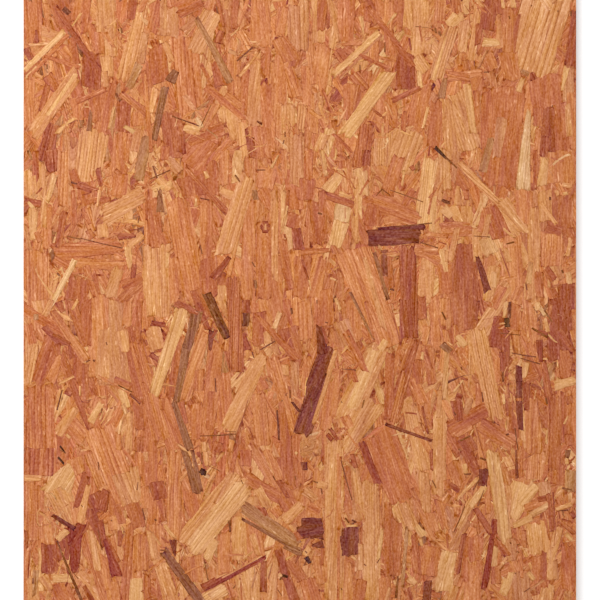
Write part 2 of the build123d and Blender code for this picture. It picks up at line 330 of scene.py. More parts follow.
            (446, 480, 448, 490, 8, 9, 0), (447, 534, 448, 548, 1.9, 1.9, 0),
            (362, 580, 358, 604, 10, 12, 1), (544, 512, 550, 540, 3.7, 1.9, 0),
            (524, 530, 524, 548, 5, 5, 0), (544, 552, 542, 582, 6, 9, 0), (496, 566, 496, 584, 10, 9, 0),
            (178, 15, 203, 3, 9, 8, 0), (363, -4, 378, 22, 12, 10, 0), (554, 104, 556, 152, 25, 34, 0),
            (195, 290, 206, 318, 12, 12, 0), (314, 202, 318, 246, 10, 9, 0), (388, 30, 392, 56, 10, 12, 0),
            (72, 170, 78, 188, 8, 10, 0), (260, 312, 258, 346, 14, 14, 0), (92, 88, 96, 122, 12, 12, 0),
            (208, 258, 210, 298, 18, 16, 0), (296, 214, 292, 228, 16, 14, 0),
            (212, 162, 214, 196, 12, 12, 0), (498, -4, 500, 14, 8, 8, 0), (77, 356, 78, 380, 12, 10, 0),
            (452, 326, 456, 342, 12, 12, 0), (422, 296, 422, 320, 9, 9, 0), (180, 402, 184, 424, 9, 9, 0),
        ],
        "brick": [
            (26, 48, 31, 60, 8, 6, 2), (53, 124, 44, 160, 13, 20, 2), (91, 52, 91, 89, 17, 21, 0),
            (36, 30, 36, 43, 2, 6, 0), (180, 124, 181, 153, 11, 10, 1), (246, 128, 249, 150, 4, 4, 0),
            (406, 52, 405, 89, 17, 21, 0), (409, 38, 411, 50, 1.9, 1.9, 0), (491, -4, 486, 30, 17, 16, 0),
            (574, 10, 570, 66, 5, 12, 0), (532, 72, 534, 80, 4, 8, 0), (49, 150, 52, 172, 16, 10, 2),
            (98, 168, 101, 186, 6, 4, 0), (72, 274, 70, 300, 4, 14, 0), (296, 228, 299, 250, 9, 12, 0),
            (366, 150, 366, 166, 10, 9, 2), (302, 260, 311, 290, 3, 2, 0), (546, 136, 544, 157, 11, 9, 0),
            (500, 248, 510, 277, 1.9, 1.2, 1), (566, 284, 568, 310, 18, 16, 1), (44, 326, 62, 346, 7, 8, 0),
            (70, 342, 74, 358, 6, 10, 0), (58, 302, 63, 312, 8, 5, 0), (66, 390, 72, 394, 8, 7, 0),
            (198, 302, 208, 330, 10, 7, 0), (246, 300, 246, 314, 8, 8, 0), (244, 334, 247, 350, 3, 8, 0),
            (150, 354, 158, 360, 6, 5, 0), (322, 328, 327, 344, 4, 5, 0), (422, 406, 428, 434, 3, 2, 0),
            (476, 300, 474, 320, 8, 6, 0), (498, 316, 495, 348, 14, 14, 0), (507, 330, 505, 376, 9, 8, 0),
            (504, 352, 503, 372, 9, 8, 1), (539, 340, 541, 362, 8, 4, 0), (560, 296, 560, 360, 24, 26, 0),
            (559, 330, 573, 352, 9, 7, 0), (456, 400, 460, 422, 12, 10, 1), (464, 438, 472, 452, 14, 12, 0),
            (456, 396, 462, 398, 8, 6, 0), (92, 494, 100, 512, 18, 16, 0), (89, 510, 104, 546, 12, 6, 0),
            (84, 586, 94, 604, 4, 6, 0), (26, 530, 27, 548, 4, 3, 0), (156, 482, 160, 500, 16, 15, 0),
            (198, 452, 206, 470, 4, 3, 0), (264, 560, 263, 592, 6, 8, 1), (431, 450, 432, 470, 4, 3, 0),
            (408, 588, 412, 604, 5, 6, 0), (466, 450, 478, 476, 12, 8, 0), (571, 512, 575, 518, 5, 4, 0),
            (464, 534, 458, 574, 6, 4, 0), (450, 484, 460, 492, 5, 5, 0), (77, 184, 92, 190, 8, 6, 0),
            (251, 138, 252, 158, 8, 8, 0), (549, 108, 549, 152, 18, 22, 0), (526, 382, 527, 410, 8, 6, 0),
            (62, 538, 64, 560, 14, 12, 0),
        ],
        "plum": [
            (384, 250, 385, 276, 7, 7, 0),
        ],
        "drab": [
            (80, 120, 80, 128, 9, 7, 0), (160, 188, 160, 212, 3, 9, 0), (235, 175, 240, 182, 3, 3, 0),
            (254, 190, 256, 200, 5, 6, 0), (374, 252, 388, 300, 4, 4, 1), (442, 344, 450, 352, 8, 8, 0),
            (350, 292, 374, 340, 3, 3, 0),
        ],
        # Thin umber strands: partly painted shade, laid where dark lines lie in the gaps between strands.
        "umber": [
            (385, 42, 385, 52, 1.2, 1.9, 0), (153, 166, 157, 178, 1.9, 1.9, 1),
            (515, 428, 518, 450, 1.2, 1.2, 0), (482, 392, 483, 402, 1.2, 1.2, 0),
            (98, 530, 102, 550, 1.2, 1.2, 0), (278, 590, 282, 596, 1.2, 0.8, 0),
            (204, 560, 208, 580, 0.8, 1.2, 0), (480, 458, 486, 460, 1.9, 1.9, 0),
        ],
        "ash": [
            (139, 64, 129, 88, 9, 8, 1), (36, 570, 34, 596, 6, 5, 1), (407, 526, 402, 588, 4, 4, 0),
            (572, 470, 571, 492, 9, 8, 0), (491, 138, 483, 172, 9, 10, 0),
        ],
        "cream": [
            (344, 204, 341, 222, 17, 16, 0),
        ],
        "wine": [
            (74, 528, 75, 572, 20, 8, 0), (82, 524, 72, 546, 10, 14, 0),
        ],
    },
    {
        "straw": [
            (25, 70, 64, 31, 6, 6, 1), (114, 107, 109, 129, 3, 3, 0), (332, 76, 379, 32, 7, 7, 1),
            (345, 135, 389, 72, 14, 15, 1), (428, 107, 423, 128, 3, 3, 0), (467, 84, 473, 134, 8, 7, 1),
            (55, 174, 47, 202, 7, 4, 1), (287, 206, 281, 234, 3, 2, 0), (278, 155, 271, 168, 2, 3, 0),
            (309, 280, 311, 290, 2, 1, 0), (330, 278, 336, 280, 2, 2, 0), (545, 158, 542, 186, 8, 10, 0),
            (563, 194, 568, 193, 3, 3, 0), (62, 346, 61, 354, 3, 2, 0), (78, 300, 72, 310, 3, 3, 0),
            (101, 403, 90, 423, 7, 8, 0), (103, 411, 100, 420, 2, 2, 0), (80, 386, 80, 396, 2, 2, 0),
            (123, 404, 126, 414, 5, 5, 0), (122, 420, 119, 434, 3, 2, 0), (66, 434, 70, 438, 3, 3, 0),
            (183, 310, 153, 394, 15, 11, 2), (280, 312, 274, 328, 5, 5, 1), (423, 352, 422, 360, 3, 3, 0),
            (554, 386, 576, 380, 10, 8, 0), (503, 394, 504, 404, 3, 3, 0), (568, 416, 564, 424, 2, 2, 0),
            (547, 430, 546, 444, 2, 3, 0), (67, 530, 57, 540, 8, 6, 0), (124, 510, 126, 518, 3, 3, 0),
            (122, 526, 123, 534, 2, 2, 0), (243, 488, 193, 550, 21, 21, 2), (248, 492, 199, 554, 6, 5, 1),
            (240, 580, 239, 588, 2, 2, 0), (279, 574, 282, 576, 3, 3, 0), (295, 452, 297, 454, 3, 3, 0),
            (416, 526, 424, 536, 6, 9, 0), (420, 538, 422, 546, 4, 3, 0), (408, 578, 416, 584, 7, 6, 0),
            (394, 580, 396, 584, 3, 3, 0), (352, 556, 356, 560, 3, 3, 0), (486, 486, 470, 506, 7, 8, 1),
            (492, 452, 506, 542, 13, 14, 1), (567, 458, 567, 464, 3, 4, 0), (566, 470, 566, 490, 2, 3, 0),
            (531, 515, 548, 505, 7, 6, 1), (513, 526, 532, 517, 6, 7, 0), (502, 562, 504, 564, 2, 2, 0),
            (48, 114, 75, 75, 9, 10, 1), (342, 222, 334, 246, 16, 13, 2), (446, 36, 433, 80, 4, 6, 1),
        ],
        "honey": [
            (32, 134, 76, 73, 14, 15, 1), (453, 26, 435, 80, 15, 14, 2), (248, 176, 224, 255, 17, 20, 1),
            (265, 224, 265, 230, 5, 5, 0), (460, 162, 500, 204, 8, 7, 2), (489, 214, 484, 238, 5, 7, 0),
            (556, 190, 558, 196, 5, 4, 0), (52, 300, 44, 316, 8, 6, 1), (74, 376, 58, 384, 3, 3, 0),
            (262, 354, 228, 432, 15, 17, 1), (336, 350, 313, 424, 4, 5, 0), (475, 332, 497, 420, 22, 14, 2),
            (88, 484, 80, 522, 5, 9, 0), (215, 472, 209, 482, 5, 3, 0), (262, 556, 222, 578, 1, 2, 0),
            (472, 500, 458, 528, 9, 8, 1),
        ],
        "fawn": [
            (137, 158, 129, 172, 3, 3, 0),
        ],
        "amber": [
            (52, 310, 86, 360, 7, 11, 1), (60, 356, 50, 382, 6, 12, 0),
        ],
        "orange": [
            (282, 34, 297, 52, 2, 3, 0), (144, 74, 151, 152, 5, 5, 0), (338, 454, 338, 602, 3, 3, 0),
            (340, 456, 339, 530, 5, 5, 0),
        ],
        "copper": [
            (405, 111, 403, 131, 3, 6, 0), (98, 375, 128, 393, 0.8, 1.2, 0), (352, 370, 356, 382, 6, 5, 0),
            (519, 398, 519, 401, 7, 7, 0),
        ],
        "rust": [
            (76, 102, 107, 89, 6, 5, 2), (368, 6, 413, 67, 6, 7, 0), (392, 101, 420, 88, 6, 5, 2),
            (24, 201, 41, 204, 8, 8, 0), (233, 279, 237, 372, 13, 15, 2), (326, 195, 354, 205, 8, 8, 0),
            (432, 196, 428, 214, 2, 2, 0), (56, 344, 89, 430, 11, 4, 0), (130, 394, 140, 404, 4, 6, 0),
            (128, 330, 150, 393, 1.2, 1.9, 0), (256, 316, 298, 360, 6, 8, 0),
            (390, 302, 400, 342, 0.8, 1.2, 0), (340, 436, 341, 440, 3, 3, 0), (106, 536, 119, 562, 2, 4, 0),
            (462, 512, 454, 532, 3, 4, 0), (493, 534, 508, 556, 7, 8, 0), (548, 494, 552, 532, 5, 5, 0),
            (559, 521, 575, 534, 4, 5, 0),
        ],
        "brick": [
            (55, 6, 98, 68, 5, 6, 0), (80, 185, 98, 190, 4, 3, 0), (118, 237, 136, 236, 6, 3, 0),
            (134, 264, 133, 278, 5, 5, 0), (265, 221, 265, 233, 6, 6, 0), (230, 257, 212, 279, 5, 8, 0),
            (407, 246, 409, 337, 16, 18, 2), (52, 336, 70, 344, 8, 5, 0), (176, 302, 198, 314, 6, 6, 0),
            (216, 330, 212, 338, 4, 3, 0), (151, 323, 165, 325, 6, 5, 0), (240, 426, 248, 400, 0.8, 0.8, 0),
            (408, 300, 409, 338, 17, 18, 2), (330, 428, 338, 440, 3, 4, 0), (327, 434, 332, 440, 4, 5, 0),
            (538, 332, 548, 334, 6, 5, 0), (86, 475, 76, 507, 9, 6, 0), (106, 490, 100, 510, 8, 14, 0),
            (100, 520, 104, 540, 7, 4, 0), (121, 531, 119, 546, 7, 3, 0), (262, 508, 266, 516, 6, 5, 0),
            (278, 480, 288, 498, 6, 4, 0), (202, 588, 216, 580, 8, 6, 0), (278, 550, 296, 606, 8, 11, 0),
            (296, 532, 300, 540, 6, 12, 0), (352, 454, 356, 468, 5, 4, 0), (362, 442, 378, 484, 7, 8, 0),
            (475, 508, 492, 534, 6, 7, 0), (538, 500, 546, 498, 6, 8, 0), (553, 492, 555, 530, 1.2, 1.9, 0),
            (261, 224, 269, 230, 5, 5, 0), (261, 230, 269, 224, 5, 5, 0),
        ],
        "plum": [
            (368, 238, 420, 235, 17, 16, 0), (378, 229, 425, 227, 3, 6, 0), (477, 256, 488, 292, 4, 8, 0),
            (130, 394, 140, 404, 3.4, 4, 0), (212, 330, 210, 350, 7, 3, 0), (319, 326, 323, 354, 5, 12, 0),
            (327, 347, 314, 388, 14, 18, 1), (321, 368, 301, 436, 17, 19, 1),
            (385, 424, 432, 441, 3.6, 3, 0), (519, 366, 519, 382, 7, 7, 0), (519, 380, 519, 398, 6, 7, 0),
            (519, 398, 521, 430, 7, 5, 0), (52, 515, 75, 529, 4, 5, 1), (173, 540, 175, 556, 8, 2, 0),
            (297, 533, 323, 529, 12, 21, 0), (350, 527, 350, 555, 17, 18, 0), (342, 536, 344, 550, 6, 5, 0),
            (312, 546, 323, 544, 3, 9, 0), (304, 462, 305, 470, 7, 5, 0), (428, 581, 426, 604, 8, 9, 0),
            (484, 469, 483, 486, 10, 9, 0), (516, 450, 517, 478, 2, 3, 0), (302, 522, 322, 522, 8, 8, 0),
        ],
        "drab": [
            (91, 111, 89, 131, 3, 6, 0), (176, 71, 170, 82, 7, 12, 1), (165, 87, 154, 140, 8, 6, 1),
            (255, 280, 256, 288, 3, 3, 0), (198, 312, 186, 350, 12, 9, 1), (187, 344, 176, 402, 9, 7, 1),
            (174, 402, 190, 450, 6, 8, 1), (184, 450, 197, 494, 7, 8, 1), (192, 450, 201, 492, 4, 4, 1),
            (163, 550, 203, 606, 9, 11, 1), (242, 519, 300, 551, 3, 6, 1), (284, 546, 302, 554, 5, 7, 1),
            (568, 450, 567, 458, 6, 4, 0),
        ],
        # Thin umber strands: partly painted shade, laid where dark lines lie in the gaps between strands.
        "umber": [
            (47, 64, 47, 69, 1.2, 1.2, 0), (118, 29, 119, 31, 1.2, 1.2, 0), (121, 28, 122, 33, 1.9, 1.9, 0),
            (237, 61, 253, 47, 1.2, 1.9, 0), (172, 116, 199, 126, 1.2, 1.2, 0),
            (211, 105, 201, 126, 0.8, 1.2, 0), (257, 121, 262, 124, 1.9, 2.5, 0),
            (285, 132, 285, 137, 1.2, 1.2, 0), (284, 140, 283, 144, 1.2, 1.2, 0),
            (360, 65, 360, 70, 1.2, 1.2, 0), (432, 29, 433, 31, 1.2, 1.2, 0),
            (435, 28, 436, 33, 1.9, 1.9, 0), (484, 72, 488, 72, 1.2, 1.2, 0), (531, 5, 532, 6, 1.2, 1.2, 0),
            (558, 10, 558, 12, 1.2, 1.2, 0), (571, 11, 571, 16, 1.9, 1.2, 0),
            (509, 16, 510, 19, 1.2, 1.2, 0), (71, 182, 77, 184, 2.5, 1.9, 0),
            (80, 238, 122, 248, 0.8, 1.2, 0), (67, 236, 80, 239, 1.2, 1.2, 0),
            (57, 273, 60, 276, 1.9, 1.9, 0), (139, 216, 138, 223, 1.2, 0.8, 0),
            (150, 179, 170, 170, 1.2, 1.2, 0), (200, 198, 209, 200, 1.2, 1.2, 0),
            (200, 245, 202, 254, 1.2, 1.2, 0), (252, 262, 255, 267, 1.2, 1.2, 0),
            (257, 170, 265, 170, 1.2, 1.2, 0), (390, 190, 423, 202, 0.8, 1.2, 0),
            (382, 189, 390, 195, 1.2, 0.8, 0), (376, 196, 382, 189, 0.8, 1.2, 0),
            (396, 227, 432, 223, 0.8, 1.2, 0), (405, 230, 410, 230, 1.2, 1.2, 0),
            (442, 200, 450, 203, 3.1, 3.1, 0), (420, 242, 438, 248, 0.8, 1.2, 0),
            (318, 213, 322, 214, 1.9, 1.9, 0), (390, 289, 394, 290, 1.9, 1.9, 0),
            (445, 157, 457, 168, 2.6, 1.6, 0), (474, 236, 490, 237, 0.8, 1.2, 0),
            (506, 244, 514, 242, 1.2, 1.9, 0), (550, 197, 550, 200, 1.9, 1.9, 0),
            (526, 284, 527, 290, 1.2, 1.2, 0), (562, 270, 563, 273, 1.9, 1.9, 0),
            (106, 342, 107, 345, 1.2, 1.2, 0), (93, 360, 95, 361, 1.9, 2.5, 0),
            (86, 362, 90, 360, 1.2, 1.2, 0), (102, 408, 101, 413, 1.2, 1.2, 0),
            (62, 390, 57, 410, 1.2, 1.2, 0), (118, 385, 132, 392, 1.2, 1.2, 0),
            (206, 293, 227, 338, 10, 8, 1), (260, 350, 275, 341, 0.8, 1.2, 0),
            (277, 410, 279, 440, 1.9, 1.9, 0), (290, 390, 290, 398, 1.2, 1.2, 0),
            (215, 378, 216, 392, 1.2, 1.2, 0), (200, 436, 236, 434, 0.8, 1.2, 0),
            (225, 431, 236, 432, 0.8, 0.8, 0), (252, 352, 254, 358, 1.2, 1.2, 0),
            (291, 308, 292, 314, 2.5, 1.9, 0), (311, 398, 312, 412, 2.5, 1.9, 0),
            (348, 336, 350, 337, 1.2, 1.2, 0), (342, 369, 356, 370, 0.8, 1.2, 0),
            (340, 389, 342, 391, 1.2, 1.2, 0), (341, 401, 342, 403, 1.2, 1.2, 0),
            (364, 400, 362, 408, 1.9, 1.2, 0), (442, 312, 446, 320, 1.9, 1.9, 0),
            (317, 300, 317, 304, 1.2, 0.8, 0), (325, 322, 328, 323, 1.2, 1.2, 0),
            (510, 302, 509, 318, 3, 4, 0), (503, 372, 503, 382, 1.9, 1.9, 0),
            (500, 333, 520, 335, 0.8, 0.8, 0), (512, 353, 536, 357, 0.8, 1.2, 0),
            (520, 358, 540, 364, 0.8, 1.2, 0), (532, 328, 548, 337, 1.9, 3.1, 0),
            (544, 310, 552, 322, 1.9, 1.2, 0), (546, 398, 547, 404, 1.9, 1.9, 0),
            (460, 441, 470, 436, 1.9, 1.9, 0), (506, 435, 509, 434, 1.9, 1.9, 0),
            (454, 412, 456, 415, 1.2, 1.9, 0), (461, 367, 462, 370, 1.2, 1.2, 0),
            (459, 383, 460, 384, 1.2, 1.2, 0), (60, 450, 66, 453, 1.2, 1.2, 0),
            (81, 505, 83, 507, 1.2, 1.2, 0), (57, 541, 83, 604, 2, 3.2, 0), (33, 578, 33, 584, 1.2, 1.9, 0),
            (111, 520, 112, 521, 1.2, 1.2, 0), (98, 462, 99, 470, 1.2, 1.2, 0),
            (142, 508, 145, 520, 0.8, 1.2, 0), (137, 490, 138, 482, 1.2, 0.8, 0),
            (155, 519, 156, 521, 1.9, 1.9, 0), (202, 452, 202, 464, 1.2, 1.9, 0),
            (241, 480, 243, 484, 1.2, 1.2, 0), (160, 550, 168, 551, 1.2, 1.2, 0),
            (273, 476, 275, 480, 1.2, 1.2, 0), (285, 546, 288, 548, 2.5, 1.9, 0),
            (230, 520, 230, 532, 0.8, 1.9, 0), (228, 520, 230, 530, 0.8, 1.2, 0),
            (283, 574, 280, 580, 1.9, 1.9, 0), (295, 476, 296, 480, 1.2, 0.8, 0),
            (305, 551, 307, 553, 1.2, 1.9, 0), (313, 481, 318, 483, 1.2, 1.9, 0),
            (321, 488, 322, 494, 1.2, 1.2, 0), (341, 460, 352, 500, 1.2, 1.2, 0),
            (398, 576, 396, 598, 1.9, 2.5, 0), (432, 480, 436, 488, 1.2, 1.2, 0),
            (341, 588, 342, 590, 1.2, 1.2, 0), (377, 563, 380, 558, 1.2, 0.8, 0),
            (364, 564, 366, 566, 1.2, 1.2, 0), (345, 518, 349, 523, 1.9, 1.9, 0),
            (352, 520, 356, 522, 1.9, 1.9, 0), (464, 474, 471, 474, 1.2, 1.2, 0),
            (480, 478, 473, 490, 1.2, 1.2, 0), (484, 490, 478, 506, 0.8, 1.2, 0),
            (465, 506, 454, 532, 1.2, 2.5, 0), (496, 537, 500, 541, 1.9, 1.2, 0),
            (562, 488, 572, 490, 1.9, 1.9, 0), (558, 511, 568, 510, 0.8, 1.2, 0),
            (515, 573, 516, 574, 1.2, 1.2, 0), (510, 542, 511, 544, 1.2, 1.2, 0),
            (517, 545, 520, 544, 1.2, 1.2, 0), (517, 551, 519, 553, 1.2, 1.2, 0),
            (530, 588, 524, 592, 1.2, 1.2, 0), (246, 313, 246, 326, 7, 6, 0),
            (292, 402, 300, 412, 2.4, 2.4, 0),
        ],
        "ash": [
            (196, 18, 230, 82, 6, 8, 0), (445, 78, 441, 98, 5, 8, 0), (147, 136, 138, 180, 11, 10, 0),
            (36, 314, 36, 320, 5, 5, 0), (243, 507, 299, 545, 13, 13, 1),
        ],
        "cream": [
            (529, 110, 523, 190, 4, 15, 1), (75, 260, 47, 312, 6, 5, 2), (124, 126, 134, 132, 4, 5, 0),
            (196, 118, 202, 128, 5, 6, 0), (28, 202, 34, 208, 5, 4, 0), (540, 308, 546, 316, 4, 4, 0),
        ],
        "wine": [
            (104, 538, 117, 576, 4, 11, 0), (266, 557, 204, 588, 4, 7, 0), (495, 519, 493, 540, 6, 7, 0),
            (492, 538, 484, 588, 6, 7, 0),
        ],
        # Small dark specks: partly painted shade, laid in holes between strands.
        "bark": [
            (60, 446, 65, 453, 2, 1.6, 0), (507, 318, 507, 327, 5, 6, 0), (58, 457, 64, 464, 2.4, 2, 0),
            (203, 469, 203, 475, 5, 5, 0), (306, 557, 310, 563, 5, 4, 0), (435, 147, 446, 158, 4, 2.6, 0),
            (200, 470, 206, 474, 5, 5, 0), (282, 575, 288, 577, 5, 4, 0),
        ],
    },
]

# Places in the photograph where fines and splinters lie thick, in pixels.
SEEN_NESTS = [
    (33, 57), (127, 27), (243, 50), (343, 59), (467, 8), (433, 33), (77, 123), (193, 120), (247, 143),
    (287, 137), (330, 110), (333, 160), (390, 123), (541, 163), (347, 198), (433, 198),
    (483, 227), (127, 240), (33, 197), (153, 173), (100, 187), (67, 277), (180, 317), (213, 320),
    (267, 343), (387, 250), (437, 240), (400, 307), (505, 312), (453, 343), (543, 320), (153, 373),
    (93, 410), (207, 460), (307, 400), (347, 370), (337, 433), (350, 463), (407, 430), (513, 453),
    (513, 387), (467, 497), (563, 517), (490, 553), (60, 520), (67, 570), (247, 567), (307, 550),
    (173, 553), (410, 590), (350, 520),
]

# A strand: its thickness, how far its sides are pressed down, and how far it bows for its length.
STRAND_THICKNESS = 0.7
EDGE_DROP = 0.14
STRAND_BOW = 0.006

# The three levels of seen strands: how deep below the face a level's first strand and its last one lie,
# and how much their borders fade into their neighbours.
LEVEL_DEPTHS = [(0.28, 0.19), (0.18, 0.09), (0.08, 0.0)]
LEVEL_FADES = (0.8, 0.5, 0.15)
# How loosely a seen strand keeps to its tone and outline, where any other strand has 1.
SEEN_LOOSE = 0.4
# How strongly rings may show, from not at all to plainly, and the table's own number for the plainest.
RING_STRENGTHS = (0, 0.5, 1)
PLAINEST_RINGS = 2

# Every random draw comes from one seed, so each run lays the same panel.
SEED = 41
chance = np.random.default_rng(SEED)


def linear(hex_colour):
    """Linear red, green and blue of an sRGB hex colour, by the standard's own curve."""
    srgb = np.array([int(hex_colour[i : i + 2], 16) for i in (1, 3, 5)]) / 255
    return np.where(srgb <= 0.04045, srgb / 12.92, ((srgb + 0.055) / 1.055) ** 2.4)


TONE_NAMES = list(TONES)
TONE_COLOURS = np.array([linear(colour) for colour in TONES.values()])
# Tones that stand out on the face.
DARK_TONES = [TONE_NAMES.index(name) for name in ("plum", "umber", "wine", "bark")]


def spread(first, last, count):
    """Evenly spaced depths from the first strand of a level to the last."""
    return np.linspace(first, last, max(count, 1))[:count]


def sizes_about(common, ratio, least, most, count):
    """Sizes of split wood: the common one times e to a normal draw of the given ratio, within limits."""
    return np.clip(np.exp(chance.normal(np.log(common), ratio, count)), least, most)


def on_panel(pixels):
    """Places on the face, in millimetres from its middle, of pixels, whose rows run down the photograph."""
    return (np.asarray(pixels) - PHOTO_CENTRE) * MM_PER_PIXEL * [1, -1]


def strand_set(start, end, widths, tone, rings, depth, bow=STRAND_BOW):
    """A set of strands as arrays.

    They hold both ends and the widths there in millimetres, the tone's number, how strongly rings show, the
    depth, the bow for its length, how much the border fades, and how loosely the strand keeps to its tone
    and outline.
    """
    return {
        "start": np.asarray(start, float).reshape(-1, 2),
        "end": np.asarray(end, float).reshape(-1, 2),
        "widths": np.asarray(widths, float).reshape(-1, 2),
        "tone": np.asarray(tone, int),
        "rings": np.asarray(rings, float),
        "depth": np.asarray(depth, float),
        "bow": np.full(len(tone), bow),
        "fade": np.ones(len(tone)),
        "loose": np.ones(len(tone)),
    }


def join(*sets):
    """Several sets of strands as one."""
    return {key: np.concatenate([one[key] for one in sets]) for key in sets[0]}


def pick(strands, which):
    """Some strands of a set, by mask or number."""
    return {key: values[which] for key, values in strands.items()}


def lengths_of(strands):
    """Each strand's length from end to end."""
    return np.linalg.norm(strands["end"] - strands["start"], axis=1)


def about(centre, angle, length, widths, tone, rings, depth, bow=STRAND_BOW):
    """Strands by their middle, and their angle in radians from the panel's long axis."""
    half = 0.5 * length[:, None] * np.stack([np.sin(angle), np.cos(angle)], axis=1)
    return strand_set(centre - half, centre + half, widths, tone, rings, depth, bow)


def seen_strands():
    """The strands of the photograph, the larger ones of each level below the smaller."""
    levels = []
    for depths, fade, tones in zip(LEVEL_DEPTHS, LEVEL_FADES, SEEN_STRANDS):
        rows = []
        for tone, strands in tones.items():
            rows += [(*strand, TONE_NAMES.index(tone)) for strand in strands]
        rows = np.array(rows, float)
        ends = on_panel(rows[:, :4].reshape(-1, 2, 2))
        widths = rows[:, 4:6] * MM_PER_PIXEL
        rings, tone = rows[:, 6:].T
        level = strand_set(ends[:, 0], ends[:, 1], widths, tone, rings / PLAINEST_RINGS, 0 * rings)
        level = pick(level, np.argsort(-lengths_of(level) * widths.sum(axis=1)))
        level["depth"] = spread(*depths, len(rows))
        level["fade"][:] = fade
        level["loose"][:] = SEEN_LOOSE
        levels.append(level)
    return join(*levels)


# How far strands beyond the photograph turn from the direction of those they are like, in radians.
BEYOND_TURN = 0.2


def more_like(strands, count, low, high):
    """Strands of the same sizes, tones and depths as the given ones, elsewhere: between two corners."""
    chosen = pick(strands, chance.integers(0, len(strands["tone"]), count))
    along = chosen["end"] - chosen["start"]
    angle = np.arctan2(along[:, 0], along[:, 1]) * chance.choice([-1, 1], count)
    angle = angle + chance.normal(0, BEYOND_TURN, count)
    centre = chance.uniform(low, high, (count, 2))
    return about(
        centre, angle, lengths_of(chosen), chosen["widths"], chosen["tone"], chosen["rings"], chosen["depth"]
    )


def kept_beyond(strands):
    """The strands moved along the panel, until none reaches back into the part that the photograph shows."""
    ends = np.stack([strands["start"], strands["end"]])[..., 1]
    way = np.sign(ends.mean(axis=0))
    short = np.clip(PHOTO_HALF_HEIGHT - np.min(ends * way, axis=0), 0, None)
    move = np.stack([0 * way, way * short], axis=1)
    return {**strands, "start": strands["start"] + move, "end": strands["end"] + move}


# Shares of each tone, in the order of TONES, at the panel's left side and its right: in the bed and in chips.
BED_LEFT_SHARES = [5, 17, 5, 28, 26, 12, 5, 1, 0, 1, 0, 1, 0, 0, 0]
BED_RIGHT_SHARES = [5, 13, 4, 24, 24, 17, 9, 2, 0.2, 1, 0, 1, 0, 0.2, 0]
CHIP_LEFT_SHARES = [12, 18, 5, 17, 15, 12, 11, 5, 1, 1, 1, 1, 3, 0, 0]
CHIP_RIGHT_SHARES = [11, 16, 4, 15, 14, 13, 12, 7, 1, 1, 1, 1, 3, 0.5, 0]


def tones_at(x, shares_left, shares_right):
    """Tone numbers drawn by shares that change from the panel's left side to its right."""
    right = np.clip(0.5 + 0.5 * x / HALF_WIDTH, 0, 1)[:, None]
    shares = (1 - right) * np.array(shares_left) + right * np.array(shares_right)
    steps = np.cumsum(shares / shares.sum(axis=1, keepdims=True), axis=1)
    return (chance.random((len(x), 1)) > steps).sum(axis=1)


# The bed under the seen strands: how far the mat runs past the sawn panel, and its depths from the lowest
# strand to the highest.
MAT_MARGIN = 45.0
BED_DEPTHS = (0.60, 0.36)
# Most of its strands lie along the panel, within about this angle in radians, and the rest lie every way.
ALONG_SHARE = 0.8
BED_SWAY = 0.42
EVERY_WAY = 1.5
# The lowest are broad, to close the mat. Both kinds have their commonest length and width, and a ratio by
# which the width varies. Limits are the same for both, and so is the width at each end, as a share.
BROAD_SHARE = 1 / 3
BROAD_BED_STRAND = (115, 34, 0.15)
BED_STRAND = (82, 13, 0.5)
BED_LENGTH_SPREAD = 24
BED_LENGTH_LIMITS = (25, 150)
BED_WIDTH_LIMITS = (4, 45)
BED_END_WIDTHS = (0.75, 1.15)


def bed_strands(count):
    """The strands under the others, on a mat wider than the panel that is sawn from it."""
    reach = np.array([HALF_WIDTH, HALF_LENGTH]) + MAT_MARGIN
    centre = chance.uniform(-reach, reach, (count, 2))
    along_panel = chance.random(count) < ALONG_SHARE
    swayed = chance.normal(0, BED_SWAY, count)
    every_way = chance.uniform(-EVERY_WAY, EVERY_WAY, count)
    angle = np.where(along_panel, swayed, every_way)
    broad = np.arange(count) < count * BROAD_SHARE
    common_length, common_width, ratio = np.where(broad[:, None], BROAD_BED_STRAND, BED_STRAND).T
    length = np.clip(chance.normal(common_length, BED_LENGTH_SPREAD), *BED_LENGTH_LIMITS)
    width = sizes_about(common_width, ratio, *BED_WIDTH_LIMITS, count)
    widths = width[:, None] * chance.uniform(*BED_END_WIDTHS, (count, 2))
    tone = tones_at(centre[:, 0], BED_LEFT_SHARES, BED_RIGHT_SHARES)
    rings = chance.choice(RING_STRENGTHS, count)
    return about(centre, angle, length, widths, tone, rings, spread(*BED_DEPTHS, count))


# Chips: commonest length, its ratio and limits, then width as a share of length and its limits, the width at
# each end as a share of that, how much narrower dark ones are, and the angle in radians from the long axis.
CHIP_LENGTHS = (11, 0.55, 3, 40)
CHIP_SLIMNESS = (0.08, 0.3)
CHIP_WIDTH_LIMITS = (0.9, 5)
CHIP_END_WIDTHS = (0.3, 1.2)
DARK_CHIP_WIDTH = 0.55
CHIP_SWAY = 0.9


def chips(centre, depths, bow):
    """Fines and splinters round given middles, lying every way but more of them along the panel."""
    count = len(centre)
    length = sizes_about(*CHIP_LENGTHS, count)
    width = np.clip(length * chance.uniform(*CHIP_SLIMNESS, count), *CHIP_WIDTH_LIMITS)[:, None]
    widths = width * chance.uniform(*CHIP_END_WIDTHS, (count, 2))
    tone = tones_at(centre[:, 0], CHIP_LEFT_SHARES, CHIP_RIGHT_SHARES)
    widths = np.where(np.isin(tone, DARK_TONES)[:, None], DARK_CHIP_WIDTH * widths, widths)
    angle = chance.normal(0, CHIP_SWAY, count)
    depth = chance.uniform(*depths, count)
    rings = chance.choice(RING_STRENGTHS[:2], count)
    return about(centre, angle, length, widths, tone, rings, depth, bow)


def nests():
    """Middles of the places where fines lie thick: those of the photograph, and others beyond it as close."""
    seen = on_panel(SEEN_NESTS)
    count = int(len(seen) * (HALF_LENGTH - PHOTO_HALF_HEIGHT) / PHOTO_HALF_HEIGHT)
    beyond = chance.uniform([-HALF_WIDTH, PHOTO_HALF_HEIGHT], [HALF_WIDTH, HALF_LENGTH], (count, 2))
    beyond[::2, 1] *= -1
    return np.concatenate([seen, beyond])
